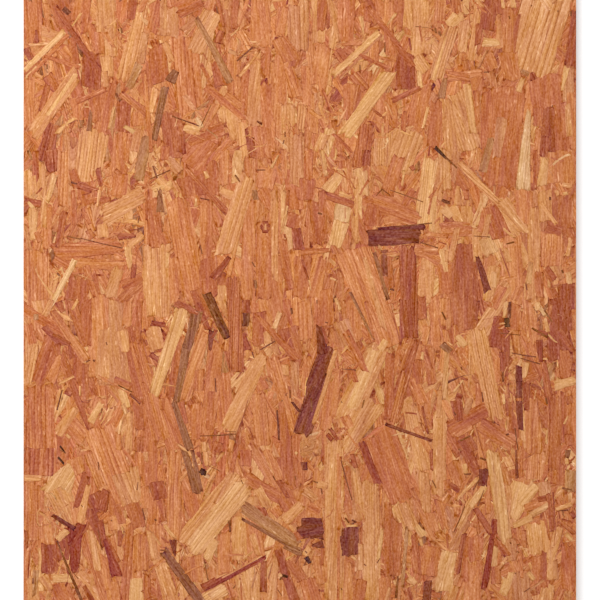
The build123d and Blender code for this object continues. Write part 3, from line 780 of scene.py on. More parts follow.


# A strand's plot in the map named OFBake: the gap between plots, and the plot's width as a share of the
# strand's mean width and a margin more.
PLOT_GAP = 1.5
PLOT_WIDTH = 1.3
PLOT_MARGIN = 1.0


def bake_plots(length, width):
    """Each strand's own oblong in the unit square, side by side in rows from the widest to the narrowest."""
    order = np.argsort(-width)
    run = np.cumsum(length[order] + PLOT_GAP)
    row_length = np.sqrt(np.sum((length + PLOT_GAP) * (width + PLOT_GAP)))
    row = (run // row_length).astype(int)
    first = np.unique(row, return_index=True)[1]
    in_row = np.diff(np.append(first, len(run)))
    begin = run - length[order]
    left = begin - np.repeat(begin[first], in_row)
    tall = width[order][first] + PLOT_GAP
    low = np.repeat(np.cumsum(tall) - tall, in_row)
    corner = np.empty((len(order), 2))
    corner[order] = np.stack([left, low], axis=1)
    return corner, np.array([np.max(left + length[order]), np.sum(tall)]) + PLOT_GAP


def border_ring(stations, lanes):
    """Grid numbers round the border of a strand, anticlockwise from above."""
    grid = np.arange(stations * lanes).reshape(stations, lanes)
    return np.concatenate([grid[:, 0], grid[-1, 1:], grid[-2::-1, -1], grid[0, -2:0:-1]])


def strand_faces(stations, lanes):
    """Corners and corner counts of one closed strand: the top's quads, the walls and the underside."""
    grid = np.arange(stations * lanes).reshape(stations, lanes)
    top = np.stack([grid[:-1, :-1], grid[1:, :-1], grid[1:, 1:], grid[:-1, 1:]], axis=-1).reshape(-1, 4)
    ring = border_ring(stations, lanes)
    under = stations * lanes + np.arange(len(ring))
    walls = np.stack([under, np.roll(under, -1), np.roll(ring, -1), ring], axis=-1)
    corners = np.concatenate([top.ravel(), walls.ravel(), under[::-1]])
    return corners, np.array([4] * (len(top) + len(walls)) + [len(ring)])


def strands_mesh(name, points, grid):
    """One mesh of closed strands, from each one's points: its top's grid, then the ring under its border."""
    count, per_strand = points.shape[:2]
    corners, sizes = strand_faces(*grid)
    numbers = np.arange(count)[:, None] * per_strand + corners
    starts = np.arange(count)[:, None] * len(corners) + np.cumsum(sizes) - sizes
    mesh = bpy.data.meshes.new(name)
    mesh.vertices.add(count * per_strand)
    mesh.vertices.foreach_set("co", (points * MM).astype(np.float32).ravel())
    mesh.loops.add(numbers.size)
    mesh.loops.foreach_set("vertex_index", numbers.astype(np.int32).ravel())
    mesh.polygons.add(starts.size)
    mesh.polygons.foreach_set("loop_start", starts.astype(np.int32).ravel())
    mesh.update(calc_edges=True)
    mesh.shade_flat()
    return mesh


# How a strand departs from a plain outline: its sides wander by a share of its width, and its ends are skew
# and ragged by shares of its width, or of this share of its length where that is less.
SIDE_WANDER = 0.06
END_SKEW = 0.3
END_RAGGED = 0.12
END_REACH = 0.22
# Its sides go down by t to this power, so that most of its width is flat.
EDGE_POWER = 8
# How strands of one tone differ in shade, and besides in red, green and blue.
SHADE_SPREAD = 0.04
TINT_SPREAD = (0.01, 0.015, 0.05)
# How strongly rings show: by a share of the strand's own strength, and by a trace on every strand.
RING_SHARES = (0.6, 1.2)
RING_TRACES = (0.0, 0.15)
# The grain's slope to the strand. A strand's place in its log is how far along it was cut, and a number that
# gives each strand other noise.
GRAIN_SLOPE = 0.06
LOG_LOW = (0, 0, -4000)
LOG_HIGH = (90, 0, 4000)
# Rings: commonest distance apart, its ratio and limits, and how far they wander.
RING_PITCHES = (3.6, 0.25, 2.4, 7)
RING_WANDER = 6.0
# A few strands are cut close over the log's axis, where the rings taper into arches. The rest are cut far
# from it, where they are straight.
ARCHED_SHARE = 0.07
ARCHED_OFFSET = 4
STRAIGHT_OFFSETS = (60, 120)
ARCH_TAPERS = (0.12, 0.3)
# Strands narrower than this show less of their borders, with the shared tone, painted shade and painted
# highlight there, the narrower the less.
SLIVER_WIDTH = 2.6


def lay(name, strands, side, grid):
    """Closed thin strands on one side of the panel, as one mesh object.

    Along a strand s runs from 0 to 1, and across it t runs from -1 to 1. A point of its top is
    start + axis * (s * length + the end cut at t) + across * (t * half the width at s + bow * 4s(1 - s)),
    at the strand's depth below the side's plane, lower by the edge drop times t to the edge power.
    """
    stations, lanes = grid
    count = len(strands["tone"])
    s = (0.5 - 0.5 * np.cos(np.linspace(0, np.pi, stations)))[None, :, None]
    t = np.sin(np.linspace(-np.pi / 2, np.pi / 2, lanes))[None, None, :]
    length = lengths_of(strands)
    axis = (strands["end"] - strands["start"]) / length[:, None]
    across = np.stack([-axis[:, 1], axis[:, 0]], axis=1)
    mean_width = strands["widths"].mean(axis=1)
    half = 0.5 * (strands["widths"][:, :1] * (1 - s[0, :, 0]) + strands["widths"][:, 1:] * s[0, :, 0])
    loose = strands["loose"]
    wander = chance.normal(0, SIDE_WANDER, (count, stations, 2))
    half = half[:, :, None] * (1 + wander[:, :, :1] * (1 - t) / 2 + wander[:, :, 1:] * (1 + t) / 2)
    reach = np.minimum(mean_width, END_REACH * length)[:, None, None]
    skew = chance.normal(0, END_SKEW, (count, 2, 1, 1)) * loose[:, None, None, None] * t
    ragged = chance.normal(0, END_RAGGED, (count, 2, 1, lanes))
    cuts = reach[:, None] * (skew + ragged)
    along = s * length[:, None, None] + (1 - s) * cuts[:, 0] + s * cuts[:, 1]
    bow = chance.normal(0, 1, (count, 1, 1)) * (strands["bow"] * length)[:, None, None]
    sideways = t * half + bow * 4 * s * (1 - s)
    flat = strands["start"][:, None, None] + axis[:, None, None] * along[..., None]
    flat = flat + across[:, None, None] * sideways[..., None]
    down = strands["depth"][:, None, None] + EDGE_DROP * t**EDGE_POWER + 0 * s
    top = np.concatenate([flat, -down[..., None]], axis=-1).reshape(count, -1, 3)

    ring = border_ring(stations, lanes)
    under = top[:, ring] - [0, 0, STRAND_THICKNESS]
    points = np.concatenate([top, under], axis=1)
    origin, first, second, out = (np.array(way, float) for way in side)
    points = origin + points[..., :1] * first + points[..., 1:2] * second + points[..., 2:] * out
    mesh = strands_mesh(name, points, grid)

    def put(attribute, kind, field, values):
        """Gives each point of the tops, and the one under it, its own values."""
        width = values.shape[-1]
        values = np.broadcast_to(values, (count, stations, lanes, width)).reshape(count, -1, width)
        values = np.concatenate([values, values[:, ring]], axis=1).astype(np.float32)
        mesh.attributes.new(attribute, kind, "POINT").data.foreach_set(field, values.ravel())

    vary = chance.normal(0, SHADE_SPREAD, (count, 1)) + chance.normal(0, TINT_SPREAD, (count, 3))
    colour = TONE_COLOURS[strands["tone"]] * (1 + loose[:, None] * vary)
    rings = strands["rings"] * chance.uniform(*RING_SHARES, count) + chance.uniform(*RING_TRACES, count)
    put("tone", "FLOAT_COLOR", "color", np.concatenate([colour, rings[:, None]], axis=1)[:, None, None])
    slope = chance.normal(0, GRAIN_SLOPE, (count, 1, 1))
    home = chance.uniform(LOG_LOW, LOG_HIGH, (count, 1, 1, 3))
    grain = np.stack([along, sideways + slope * along, 0 * along], axis=-1)
    put("grain", "FLOAT_VECTOR", "vector", grain + home)
    pitch = sizes_about(*RING_PITCHES, count)
    arched = chance.random(count) < ARCHED_SHARE * loose
    near_axis = chance.normal(0, ARCHED_OFFSET, count)
    far_off = chance.uniform(*STRAIGHT_OFFSETS, count)
    aside = np.where(arched, near_axis, far_off) - RING_WANDER / 2
    figure = np.stack([1 / pitch, chance.uniform(*ARCH_TAPERS, count) * arched, aside], axis=1)
    put("figure", "FLOAT_VECTOR", "vector", figure[:, None, None])
    rim = np.minimum((1 - np.abs(t)) * half, np.minimum(s, 1 - s) * length[:, None, None])
    rim = rim + np.clip(SLIVER_WIDTH - mean_width, 0, None)[:, None, None]
    rim = np.stack([rim, strands["fade"][:, None, None] + 0 * rim, 0 * rim], axis=-1)
    put("rim", "FLOAT_VECTOR", "vector", rim)
    plot_width = PLOT_WIDTH * mean_width + PLOT_MARGIN
    corner, sheet = bake_plots(length + reach[:, 0, 0], plot_width)
    plot = np.stack([along + reach / 2, sideways + plot_width[:, None, None] / 2], axis=-1)
    put("plot", "FLOAT2", "vector", (plot + corner[:, None, None]) / sheet)

    piece = bpy.data.objects.new(name, mesh)
    bpy.context.scene.collection.objects.link(piece)
    return piece


# The saw: how near a plane counts as on it, in metres, and the most that a cut strand draws back, as a share
# of its distance from the panel's middle.
SAW_TOLERANCE = 1e-8
DRAW_BACK = 0.0005


def saw(piece, planes):
    """Trims a piece at each plane and closes every strand where it was cut.

    Then each strand draws back by a share of its own, so that no two cut ends lie in one plane.
    """
    cut = bmesh.new()
    cut.from_mesh(piece.data)
    for point, normal in planes:
        whole = cut.verts[:] + cut.edges[:] + cut.faces[:]
        made = bmesh.ops.bisect_plane(
            cut, geom=whole, dist=SAW_TOLERANCE, plane_co=point, plane_no=normal, clear_outer=True
        )
        kerf = [part for part in made["geom_cut"] if isinstance(part, bmesh.types.BMEdge)]
        bmesh.ops.holes_fill(cut, edges=kerf, sides=0)
    cut.to_mesh(piece.data)
    cut.free()
    place = np.empty(3 * len(piece.data.vertices), np.float32)
    piece.data.vertices.foreach_get("co", place)
    grain = np.empty_like(place)
    piece.data.attributes["grain"].data.foreach_get("vector", grain)
    place = place.reshape(-1, 3)
    place[:, :2] *= 1 - DRAW_BACK * np.mod(grain.reshape(-1, 3)[:, 2:], 1)
    piece.data.vertices.foreach_set("co", place.ravel())


def bake_map(piece):
    """A map of the piece's own, named OFBake: each strand lies in the oblong that its plot gives."""
    mesh = piece.data
    plot = np.empty(2 * len(mesh.vertices), np.float32)
    mesh.attributes["plot"].data.foreach_get("vector", plot)
    corner = np.empty(len(mesh.loops), np.int32)
    mesh.loops.foreach_get("vertex_index", corner)
    mesh.uv_layers.new(name="OFBake").data.foreach_set("uv", plot.reshape(-1, 2)[corner].ravel())
    mesh.attributes.remove(mesh.attributes["plot"])


# Each side of the panel: its origin, its two directions, and its way out.
TOP = ((0, 0, THICKNESS), (1, 0, 0), (0, 1, 0), (0, 0, 1))
UNDERSIDE = ((0, 0, 0), (-1, 0, 0), (0, 1, 0), (0, 0, -1))
RIGHT_EDGE = ((HALF_WIDTH, 0, 0), (0, 1, 0), (0, 0, 1), (1, 0, 0))
LEFT_EDGE = ((-HALF_WIDTH, 0, 0), (0, -1, 0), (0, 0, 1), (-1, 0, 0))
FAR_EDGE = ((0, HALF_LENGTH, 0), (-1, 0, 0), (0, 0, 1), (0, 1, 0))
NEAR_EDGE = ((0, -HALF_LENGTH, 0), (1, 0, 0), (0, 0, 1), (0, -1, 0))


def saw_planes():
    """The four sawn sides, the knocked corners between them and the bevelled arrises, in metres."""
    planes = []
    half = np.array([HALF_WIDTH, HALF_LENGTH, 0])
    middle = np.array([0, 0, THICKNESS / 2])
    for sign in (-1, 1):
        for way in ((1, 0, 0), (0, 1, 0)):
            out = sign * np.array(way, float)
            planes.append((out * half, out))
            for up in (-1, 1):
                lean = out + [0, 0, up]
                planes.append((out * (half - ARRIS_BEVEL) + middle * (1 + up), lean))
        for way in ((1, 1, 0), (1, -1, 0)):
            out = sign * np.array(way, float)
            planes.append((out * (half - CORNER_CUT), out))
    return [(Vector(point * MM), Vector(out).normalized()) for point, out in planes]


# A strand counts as sawn where an end, with this share of its width and this margin, reaches a side.
RIM_WIDTH = 0.8
RIM_MARGIN = 2


def at_the_rim(strands):
    """Which strands reach the sawn sides."""
    ends = np.abs(np.stack([strands["start"], strands["end"]]))
    reach = ends + RIM_WIDTH * strands["widths"].max(axis=1)[None, :, None] + RIM_MARGIN
    return np.any(reach > [HALF_WIDTH, HALF_LENGTH], axis=(0, 2))


# The sawn edges: how many layers show, and how far from the middle the outer ones begin, as a share of the
# thickness.
EDGE_LAYERS = 15
OUTER_LAYERS = 0.25
# A section's mean size where a strand is cut lengthways or across, its spread as a share of that, its limits,
# and more cuts than fill the edge.
SECTION_LENGTH = 55
SECTION_WIDTH = 17
SECTION_SPREAD = 0.4
SECTION_LIMITS = (5, 120)
SPARE_SECTIONS = 20
# How far a layer strays from level, how near the faces it may come, its thickness and its depth, how little
# its sections bow, and how far they run past the corners, to be sawn off there.
LAYER_STRAY = 0.1
EDGE_LOW = 0.85
LAYER_THICKNESS = (0.6, 1.1)
LAYER_DEPTHS = (0.02, 0.16)
EDGE_BOW = 0.001
CORNER_MARGIN = 3.0


def edge_sections(half, along_panel):
    """The strands' cut ends along a sawn edge, layer on layer from underside to face.

    Where the layer's strands cross the edge, a section is a strand's width, and where they run along it,
    a strand's length. Outer layers run along the panel and inner layers across it.
    """
    half = half + CORNER_MARGIN
    sets = []
    for k in range(EDGE_LAYERS):
        level = (k + 0.5) / EDGE_LAYERS
        outer = abs(level - 0.5) > OUTER_LAYERS
        mean = SECTION_LENGTH if outer == along_panel else SECTION_WIDTH
        sizes = chance.normal(mean, SECTION_SPREAD * mean, int(4 * half / mean) + SPARE_SECTIONS)
        cuts = np.cumsum(np.clip(sizes, *SECTION_LIMITS))
        cuts = np.concatenate([[0], cuts[cuts < 2 * half - SECTION_LIMITS[0]], [2 * half]]) - half
        count = len(cuts) - 1
        height = THICKNESS * level + chance.normal(0, LAYER_STRAY, (count + 1, 1))
        knots = np.concatenate([cuts[:, None], np.clip(height, EDGE_LOW, THICKNESS - EDGE_LOW)], axis=1)
        widths = chance.uniform(*LAYER_THICKNESS, (count, 2))
        tone = tones_at(np.zeros(count), CHIP_LEFT_SHARES, CHIP_RIGHT_SHARES)
        depth = chance.uniform(*LAYER_DEPTHS, count)
        sets.append(strand_set(knots[:-1], knots[1:], widths, tone, np.zeros(count), depth, EDGE_BOW))
    return join(*sets)


# How far the inner mat lies behind the faces and the sides, under strands on all of them.
FACE_INSET = 0.9
SIDE_INSET = 0.65


def inner_mat():
    """The pressed mat behind the outer strands: a closed block set in from every side."""
    inset = np.array([SIDE_INSET, SIDE_INSET, FACE_INSET])
    low = np.array([-HALF_WIDTH, -HALF_LENGTH, 0]) + inset
    high = PANEL_HIGH - inset
    corners = np.array([[x, y, z] for z in (0, 1) for y in (0, 1) for x in (0, 1)])
    points = (low + corners * (high - low)) * MM
    faces = [(0, 2, 3, 1), (4, 5, 7, 6), (0, 1, 5, 4), (2, 6, 7, 3), (0, 4, 6, 2), (1, 3, 7, 5)]
    mesh = bpy.data.meshes.new("inner_mat")
    mesh.from_pydata(points.tolist(), [], faces)
    piece = bpy.data.objects.new("inner_mat", mesh)
    bpy.context.scene.collection.objects.link(piece)
    return piece


def add(tree, kind, links=None, **settings):
    """Adds one node with its settings, and fills its sockets from values, outputs or nodes' first outputs."""
    made = tree.nodes.new(kind)
    for key, value in settings.items():
        setattr(made, key, value)
    for socket, value in (links or {}).items():
        if isinstance(value, bpy.types.Node):
            value = value.outputs[0]
        if isinstance(value, bpy.types.NodeSocket):
            tree.links.new(value, made.inputs[socket])
        else:
            made.inputs[socket].default_value = value
    return made


def new_material(name):
    """An empty node material and its tree."""
    material = bpy.data.materials.new(name)
    material.use_nodes = True
    material.node_tree.nodes.clear()
    return material, material.node_tree


# Noise stretched along each strand's grain: its size along and across in millimetres, and its detail. Fibres
# are finer than a pixel of the photograph, so they are drawn 1.5 mm apart, and in bundles 3.6 mm apart.
GRAIN_NOISES = {
    "wander": (90, 16, 1),
    "fibres": (26, 1.5, 1),
    "bundles": (32, 3.6, 2),
    "mottle": (40, 13, 2),
    # Fine specks: paler and greyer where the noise is high, darker where it is low.
    "grey_specks": (2.5, 1.8, 1),
    "blush": (45, 6, 2),
    "dashes": (9, 0.9, 0),
    "fleck": (5, 2.2, 0),
    "pale": (7, 1.8, 0),
    # Where a border takes painted highlight and where painted shade.
    "border_highlight_and_shade": (16, 5, 1),
}
# Noise that runs on from strand to strand: its size in millimetres, and its detail. Steam and resin stain the
# face in patches, and neighbours share a tone here and there.
PANEL_NOISES = {
    "stain": (38, 2),
    "shared": (14, 1),
    # Where the thin line of painted shade at the borders breaks off.
    "broken": (5, 1),
}
# Noise that darkens and lightens about a middle.
NOISE_MIDDLES = {
    "fibres": 0.5,
    "bundles": 0.5,
    "mottle": 0.5,
    "grey_specks": 0.5,
    "blush": 0.515,
    "stain": 0.5,
}
# Noise that shows only where it is high: from the first value up, and fully from the second.
NOISE_STEPS = {
    "dashes": (0.68, 0.8),
    "fleck": (0.76, 0.84),
    "pale": (0.72, 0.82),
    "shared": (0.45, 0.62),
    "broken": (0.48, 0.6),
}
# What shows near a strand's border: the shared tone, a band of painted shade and painted highlight, and a
# thin line of painted shade. How far in each begins, and how near it shows fully, in millimetres.
RIM_STEPS = {
    "fade": (2.4, 0.3),
    "edge": (1.3, 0.2),
    "border_shade_line": (0.8, 0.1),
}
# How much each darkens the wood, or lightens it where below zero.
DARK_AMOUNTS = {
    "fibres": 0.65,
    "bundles": 0.7,
    "mottle": 0.6,
    "stain": 0.18,
    # The edge band is painted shade, turned to painted highlight where its noise is low.
    "edge": 0.3,
    "dashes": 0.3,
    "fleck": 0.3,
    "pale": -0.45,
    "grey_specks": -0.4,
}
# The same for rings, for the thin lines of painted shade at borders and for all wood alike, and the most that
# wood is lightened.
RING_DARK = 0.5
BORDER_SHADE_LINE_DARK = 0.52
ALL_DARK = 0.035
PALEST = -0.6
# What full darkness adds to the power of the colour, and takes from its light.
DARK_POWER = 0.6
DARK_SHADE = 0.45
# Fine specks are greyer than the wood, and resin turns it from yellow to pink in streaks.
TINTS = {
    "grey_specks": (0.15, 0.11, 0.1),
    "blush": (0.0, 0.0, 0.1),
}
# Late wood darkens by this power of its place in the year, less a middle. Each year has its own strength:
# the least, and as much as the spread above it.
LATE_WOOD_POWER = 2.5
LATE_WOOD_MIDDLE = 0.25
YEAR_LEAST = 0.25
YEAR_SPREAD = 1.3
# A border takes painted highlight where its noise is low and painted shade where it is high.
HIGHLIGHT_AND_SHADE_GAIN = 4.0
HIGHLIGHT_AND_SHADE_OFFSET = -1.8
# The tone that neighbours share, and how much of it a border takes on at most.
SHARED_TONE = "#CC8354"
SHARED_MOST = 0.6
# How far fibres stand out.
FIBRE_RELIEF = 0.3


def strand_wood():
    """Softwood strands, sliced with knives, coated with resin and hot-pressed.

    To the eye they are matt, with the grain along each strand, rings as soft stripes a few millimetres apart,
    short dark flecks, and thin edges that the press has rubbed into the strands beside them. Painted shade
    and painted highlight lie along their borders.
    """
    material, tree = new_material("pressed_softwood_strands")
    tone = add(tree, "ShaderNodeAttribute", attribute_name="tone").outputs
    grain = add(tree, "ShaderNodeAttribute", attribute_name="grain").outputs["Vector"]
    figure = add(tree, "ShaderNodeAttribute", attribute_name="figure").outputs["Vector"]
    rim = add(tree, "ShaderNodeAttribute", attribute_name="rim").outputs["Vector"]
    panel = add(tree, "ShaderNodeTexCoord").outputs["Object"]
    along, across, log = add(tree, "ShaderNodeSeparateXYZ", {0: grain}).outputs
    rings_per_mm, taper, offset = add(tree, "ShaderNodeSeparateXYZ", {0: figure}).outputs
    inward, fading, _ = add(tree, "ShaderNodeSeparateXYZ", {0: rim}).outputs

    places = {}
    for name, (along_mm, across_mm, detail) in GRAIN_NOISES.items():
        stretch = (1 / along_mm, 1 / across_mm, 1)
        place = add(tree, "ShaderNodeVectorMath", {0: grain, 1: stretch}, operation="MULTIPLY")
        places[name] = {"Vector": place, "Scale": 1, "Detail": detail}
    for name, (size, detail) in PANEL_NOISES.items():
        places[name] = {"Vector": panel, "Scale": 1 / (size * MM), "Detail": detail}
    part = {}
    for name, place in places.items():
        part[name] = add(tree, "ShaderNodeTexNoise", {**place, "Roughness": 0.55})
    for name, middle in NOISE_MIDDLES.items():
        part[name] = add(tree, "ShaderNodeMath", {0: part[name], 1: middle}, operation="SUBTRACT")
    for name, (low, high) in NOISE_STEPS.items():
        part[name] = add(tree, "ShaderNodeMapRange", {"Value": part[name], "From Min": low, "From Max": high})
    for name, (begin, full) in RIM_STEPS.items():
        part[name] = add(tree, "ShaderNodeMapRange", {"Value": inward, "From Min": begin, "From Max": full})

    # The rings are cones round the log's axis, so the knife cuts them in hyperbolas: straight stripes far
    # from the axis, and nested arches over it. They wander slowly, and some years are darker than others.
    aside = add(
        tree, "ShaderNodeMath", {0: part["wander"], 1: RING_WANDER, 2: across}, operation="MULTIPLY_ADD"
    )
    aside = add(tree, "ShaderNodeMath", {0: aside, 1: offset}, operation="ADD")
    below = add(tree, "ShaderNodeMath", {0: along, 1: taper}, operation="MULTIPLY")
    radius = add(tree, "ShaderNodeCombineXYZ", {0: aside, 1: below})
    radius = add(tree, "ShaderNodeVectorMath", {0: radius}, operation="LENGTH").outputs["Value"]
    ring = add(tree, "ShaderNodeMath", {0: radius, 1: rings_per_mm}, operation="MULTIPLY")
    year = add(tree, "ShaderNodeMath", {0: ring}, operation="FLOOR")
    year = add(tree, "ShaderNodeMath", {0: year, 1: log}, operation="ADD")
    year = add(tree, "ShaderNodeTexWhiteNoise", {"W": year}, noise_dimensions="1D").outputs["Value"]
    year = add(tree, "ShaderNodeMath", {0: year, 1: YEAR_SPREAD, 2: YEAR_LEAST}, operation="MULTIPLY_ADD")
    late = add(tree, "ShaderNodeMath", {0: ring}, operation="FRACT")
    late = add(tree, "ShaderNodeMath", {0: late, 1: LATE_WOOD_POWER}, operation="POWER")
    late = add(tree, "ShaderNodeMath", {0: late, 1: year}, operation="MULTIPLY")
    late = add(tree, "ShaderNodeMath", {0: late, 1: LATE_WOOD_MIDDLE}, operation="SUBTRACT")
    stripes = add(tree, "ShaderNodeMath", {0: late, 1: tone["Alpha"]}, operation="MULTIPLY")

    # Near its border a strand fades here and there into a tone that it shares with its neighbours.
    fade = add(tree, "ShaderNodeMath", {0: part["fade"], 1: part["shared"]}, operation="MULTIPLY")
    fade = add(tree, "ShaderNodeMath", {0: fade, 1: fading}, operation="MULTIPLY")
    fade = add(tree, "ShaderNodeMath", {0: fade, 1: SHARED_MOST}, operation="MULTIPLY")
    blend = {"Factor": fade, "A": tone["Color"], "B": (*linear(SHARED_TONE), 1)}
    colour = add(tree, "ShaderNodeMix", blend, data_type="RGBA").outputs["Result"]
    # In other places the border takes painted highlight, in others painted shade, and here and there a thin
    # broken line of painted shade.
    border_highlight_and_shade = add(
        tree, "ShaderNodeMath", {0: part["border_highlight_and_shade"], 1: HIGHLIGHT_AND_SHADE_GAIN, 2: HIGHLIGHT_AND_SHADE_OFFSET}, operation="MULTIPLY_ADD"
    )
    part["edge"] = add(tree, "ShaderNodeMath", {0: part["edge"], 1: border_highlight_and_shade}, operation="MULTIPLY")
    border_shade_line = add(tree, "ShaderNodeMath", {0: part["border_shade_line"], 1: part["broken"]}, operation="MULTIPLY")

    # Darker wood and painted shade are deeper in colour, by a power over 1, and dimmer. Paler wood and
    # painted highlight are bleached and brighter.
    dark = add(tree, "ShaderNodeMath", {0: stripes, 1: RING_DARK, 2: ALL_DARK}, operation="MULTIPLY_ADD")
    for name, amount in DARK_AMOUNTS.items():
        dark = add(tree, "ShaderNodeMath", {0: part[name], 1: amount, 2: dark}, operation="MULTIPLY_ADD")
    dark = add(tree, "ShaderNodeMath", {0: dark, 1: PALEST}, operation="MAXIMUM")
    dark = add(tree, "ShaderNodeMath", {0: border_shade_line, 1: BORDER_SHADE_LINE_DARK, 2: dark}, operation="MULTIPLY_ADD")
    power = add(tree, "ShaderNodeMath", {0: dark, 1: DARK_POWER, 2: 1}, operation="MULTIPLY_ADD")
    shade = add(tree, "ShaderNodeMath", {0: dark, 1: -DARK_SHADE, 2: 1}, operation="MULTIPLY_ADD")
    colour = add(tree, "ShaderNodeGamma", {"Color": colour, "Gamma": power})
    colour = add(tree, "ShaderNodeVectorMath", {0: colour, "Scale": shade}, operation="SCALE")
    for name, tint in TINTS.items():
        colour = add(
            tree, "ShaderNodeVectorMath", {0: part[name], 1: tint, 2: colour}, operation="MULTIPLY_ADD"
        )
    relief = add(
        tree,
        "ShaderNodeBump",
        {"Height": part["fibres"], "Strength": 0.25, "Distance": FIBRE_RELIEF * MM},
    )
    wood = add(
        tree,
        "ShaderNodeBsdfPrincipled",
        {
            "Base Color": colour,
            "Roughness": 0.62,
            "IOR": 1.45,
            "Specular IOR Level": 0.1,
            "Normal": relief,
        },
    )
    add(tree, "ShaderNodeOutputMaterial", {"Surface": wood})
    return material


# The mat's dark tone, which is painted shade in the gaps between strands, its palest wood, and the size of
# the blotches between them.
MAT_GAP_SHADE = "#7A4428"
MAT_PALE = "#B87445"
MAT_BLOTCH = 8


def mat_wood():
    """The mat's inside, seen only in the gaps between strands: wood blotched with a dark tone as painted
    shade in the gaps, rough and matt.
    """
    material, tree = new_material("mat_with_painted_gap_shade")
    panel = add(tree, "ShaderNodeTexCoord").outputs["Object"]
    blotch = add(
        tree, "ShaderNodeTexNoise", {"Vector": panel, "Scale": 1 / (MAT_BLOTCH * MM), "Detail": 2}
    )
    blend = {"Factor": blotch, "A": (*linear(MAT_GAP_SHADE), 1), "B": (*linear(MAT_PALE), 1)}
    colour = add(tree, "ShaderNodeMix", blend, data_type="RGBA").outputs["Result"]
    wood = add(tree, "ShaderNodeBsdfPrincipled", {"Base Color": colour, "Roughness": 0.8, "IOR": 1.45})
    add(tree, "ShaderNodeOutputMaterial", {"Surface": wood})
    return material


def dress(piece, material):
    """Gives a piece its material, and makes it stand for the panel."""
    piece.data.materials.append(material)
    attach(piece, "root")
    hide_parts("osb_panel")


def lay_face(name, strands, side, grid, material):
    """Lays strands on one face: those inside it as one piece, and those sawn at its sides as another."""
    sawn = at_the_rim(strands)
    inside = lay(name, pick(strands, ~sawn), side, grid)
    cut = lay(f"{name}_sawn", pick(strands, sawn), side, grid)
    saw(cut, saw_planes())
    for piece in (inside, cut):
        bake_map(piece)
        dress(piece, material)


# How many strands lie in the beds, on the underside, among the fines and in each nest.
FACE_BED_COUNT = 3500
BACK_BED_COUNT = 3000
BACK_COUNT = 1200
FINES_COUNT = 2400
NEST_COUNT = 34
# Chips in a nest: how far from its middle, how deep below the face, and the bow for their length. Then fines.
NEST_SPREAD = 10
NEST_DEPTHS = (0.05, 0.34)
NEST_BOW = 0.1
FINES_DEPTHS = (0.29, 0.40)
FINES_BOW = 0.06
# Shorter strands are splinters, and wider ones are broad strands.
SPLINTER_LENGTH = 14
BROAD_WIDTH = 14
# The grid of one strand: stations along it and lanes across it.
BED_GRID = (3, 4)
BROAD_GRID = (5, 8)
STRAND_GRID = (5, 6)
SPLINTER_GRID = (4, 4)
CHIP_GRID = (4, 3)
BACK_BED_GRID = (3, 3)
BACK_GRID = (5, 3)
EDGE_GRID = (5, 3)


def build_panel():
    """The panel: the inner mat, both faces' strands and the four sawn edges."""
    wood = strand_wood()
    dress(inner_mat(), mat_wood())
    lay_face("face_bed", bed_strands(FACE_BED_COUNT), TOP, BED_GRID, wood)
    seen = seen_strands()
    side, end = HALF_WIDTH, HALF_LENGTH
    share_beyond = (end - PHOTO_HALF_HEIGHT) / (2 * PHOTO_HALF_HEIGHT)
    beyond = int(share_beyond * len(seen["tone"]))
    far = more_like(seen, beyond, (-side, PHOTO_HALF_HEIGHT), (side, end))
    near = more_like(seen, beyond, (-side, -end), (side, -PHOTO_HALF_HEIGHT))
    shown = join(seen, kept_beyond(join(far, near)))
    small = lengths_of(shown) < SPLINTER_LENGTH
    broad = shown["widths"].max(axis=1) > BROAD_WIDTH
    lay_face("face_broad_strands", pick(shown, broad), TOP, BROAD_GRID, wood)
    lay_face("face_strands", pick(shown, ~small & ~broad), TOP, STRAND_GRID, wood)
    lay_face("face_splinters", pick(shown, small & ~broad), TOP, SPLINTER_GRID, wood)
    nest = np.repeat(nests(), NEST_COUNT, axis=0)
    nest = nest + chance.normal(0, NEST_SPREAD, nest.shape)
    scattered = chance.uniform([-side, -end], [side, end], (FINES_COUNT, 2))
    lay_face("face_nests", chips(nest, NEST_DEPTHS, NEST_BOW), TOP, CHIP_GRID, wood)
    lay_face("face_fines", chips(scattered, FINES_DEPTHS, FINES_BOW), TOP, CHIP_GRID, wood)
    lay_face("back_bed", bed_strands(BACK_BED_COUNT), UNDERSIDE, BACK_BED_GRID, wood)
    back = more_like(seen, BACK_COUNT, (-side, -end), (side, end))
    lay_face("back_strands", back, UNDERSIDE, BACK_GRID, wood)
    for name, edge, half, along_panel in (
        ("right_edge", RIGHT_EDGE, end, True),
        ("left_edge", LEFT_EDGE, end, True),
        ("far_edge", FAR_EDGE, side, False),
        ("near_edge", NEAR_EDGE, side, False),
    ):
        piece = lay(name, edge_sections(half, along_panel), edge, EDGE_GRID)
        saw(piece, saw_planes())
        bake_map(piece)
        dress(piece, wood)


def shown_white(tree):
    """1 for rays that show the background, straight, mirrored or through glass, and 0 for other rays."""
    path = add(tree, "ShaderNodeLightPath").outputs
    shown = path["Is Camera Ray"]
    for ray in ("Is Glossy Ray", "Is Transmission Ray"):
        shown = add(tree, "ShaderNodeMath", {0: shown, 1: path[ray]}, operation="MAXIMUM")
    return shown


# The floor, in metres: half its width, how far it lies under the panel, and the distance within which it is
# clear to rays from what rests on it. Then its colour, and the glow that brings it to white in the picture.
FLOOR_HALF = 6.0
FLOOR_DROP = 0.0002
FLOOR_TOUCH = 0.005
FLOOR_COLOUR = "#E7E7E7"
FLOOR_GLOW = 0.45


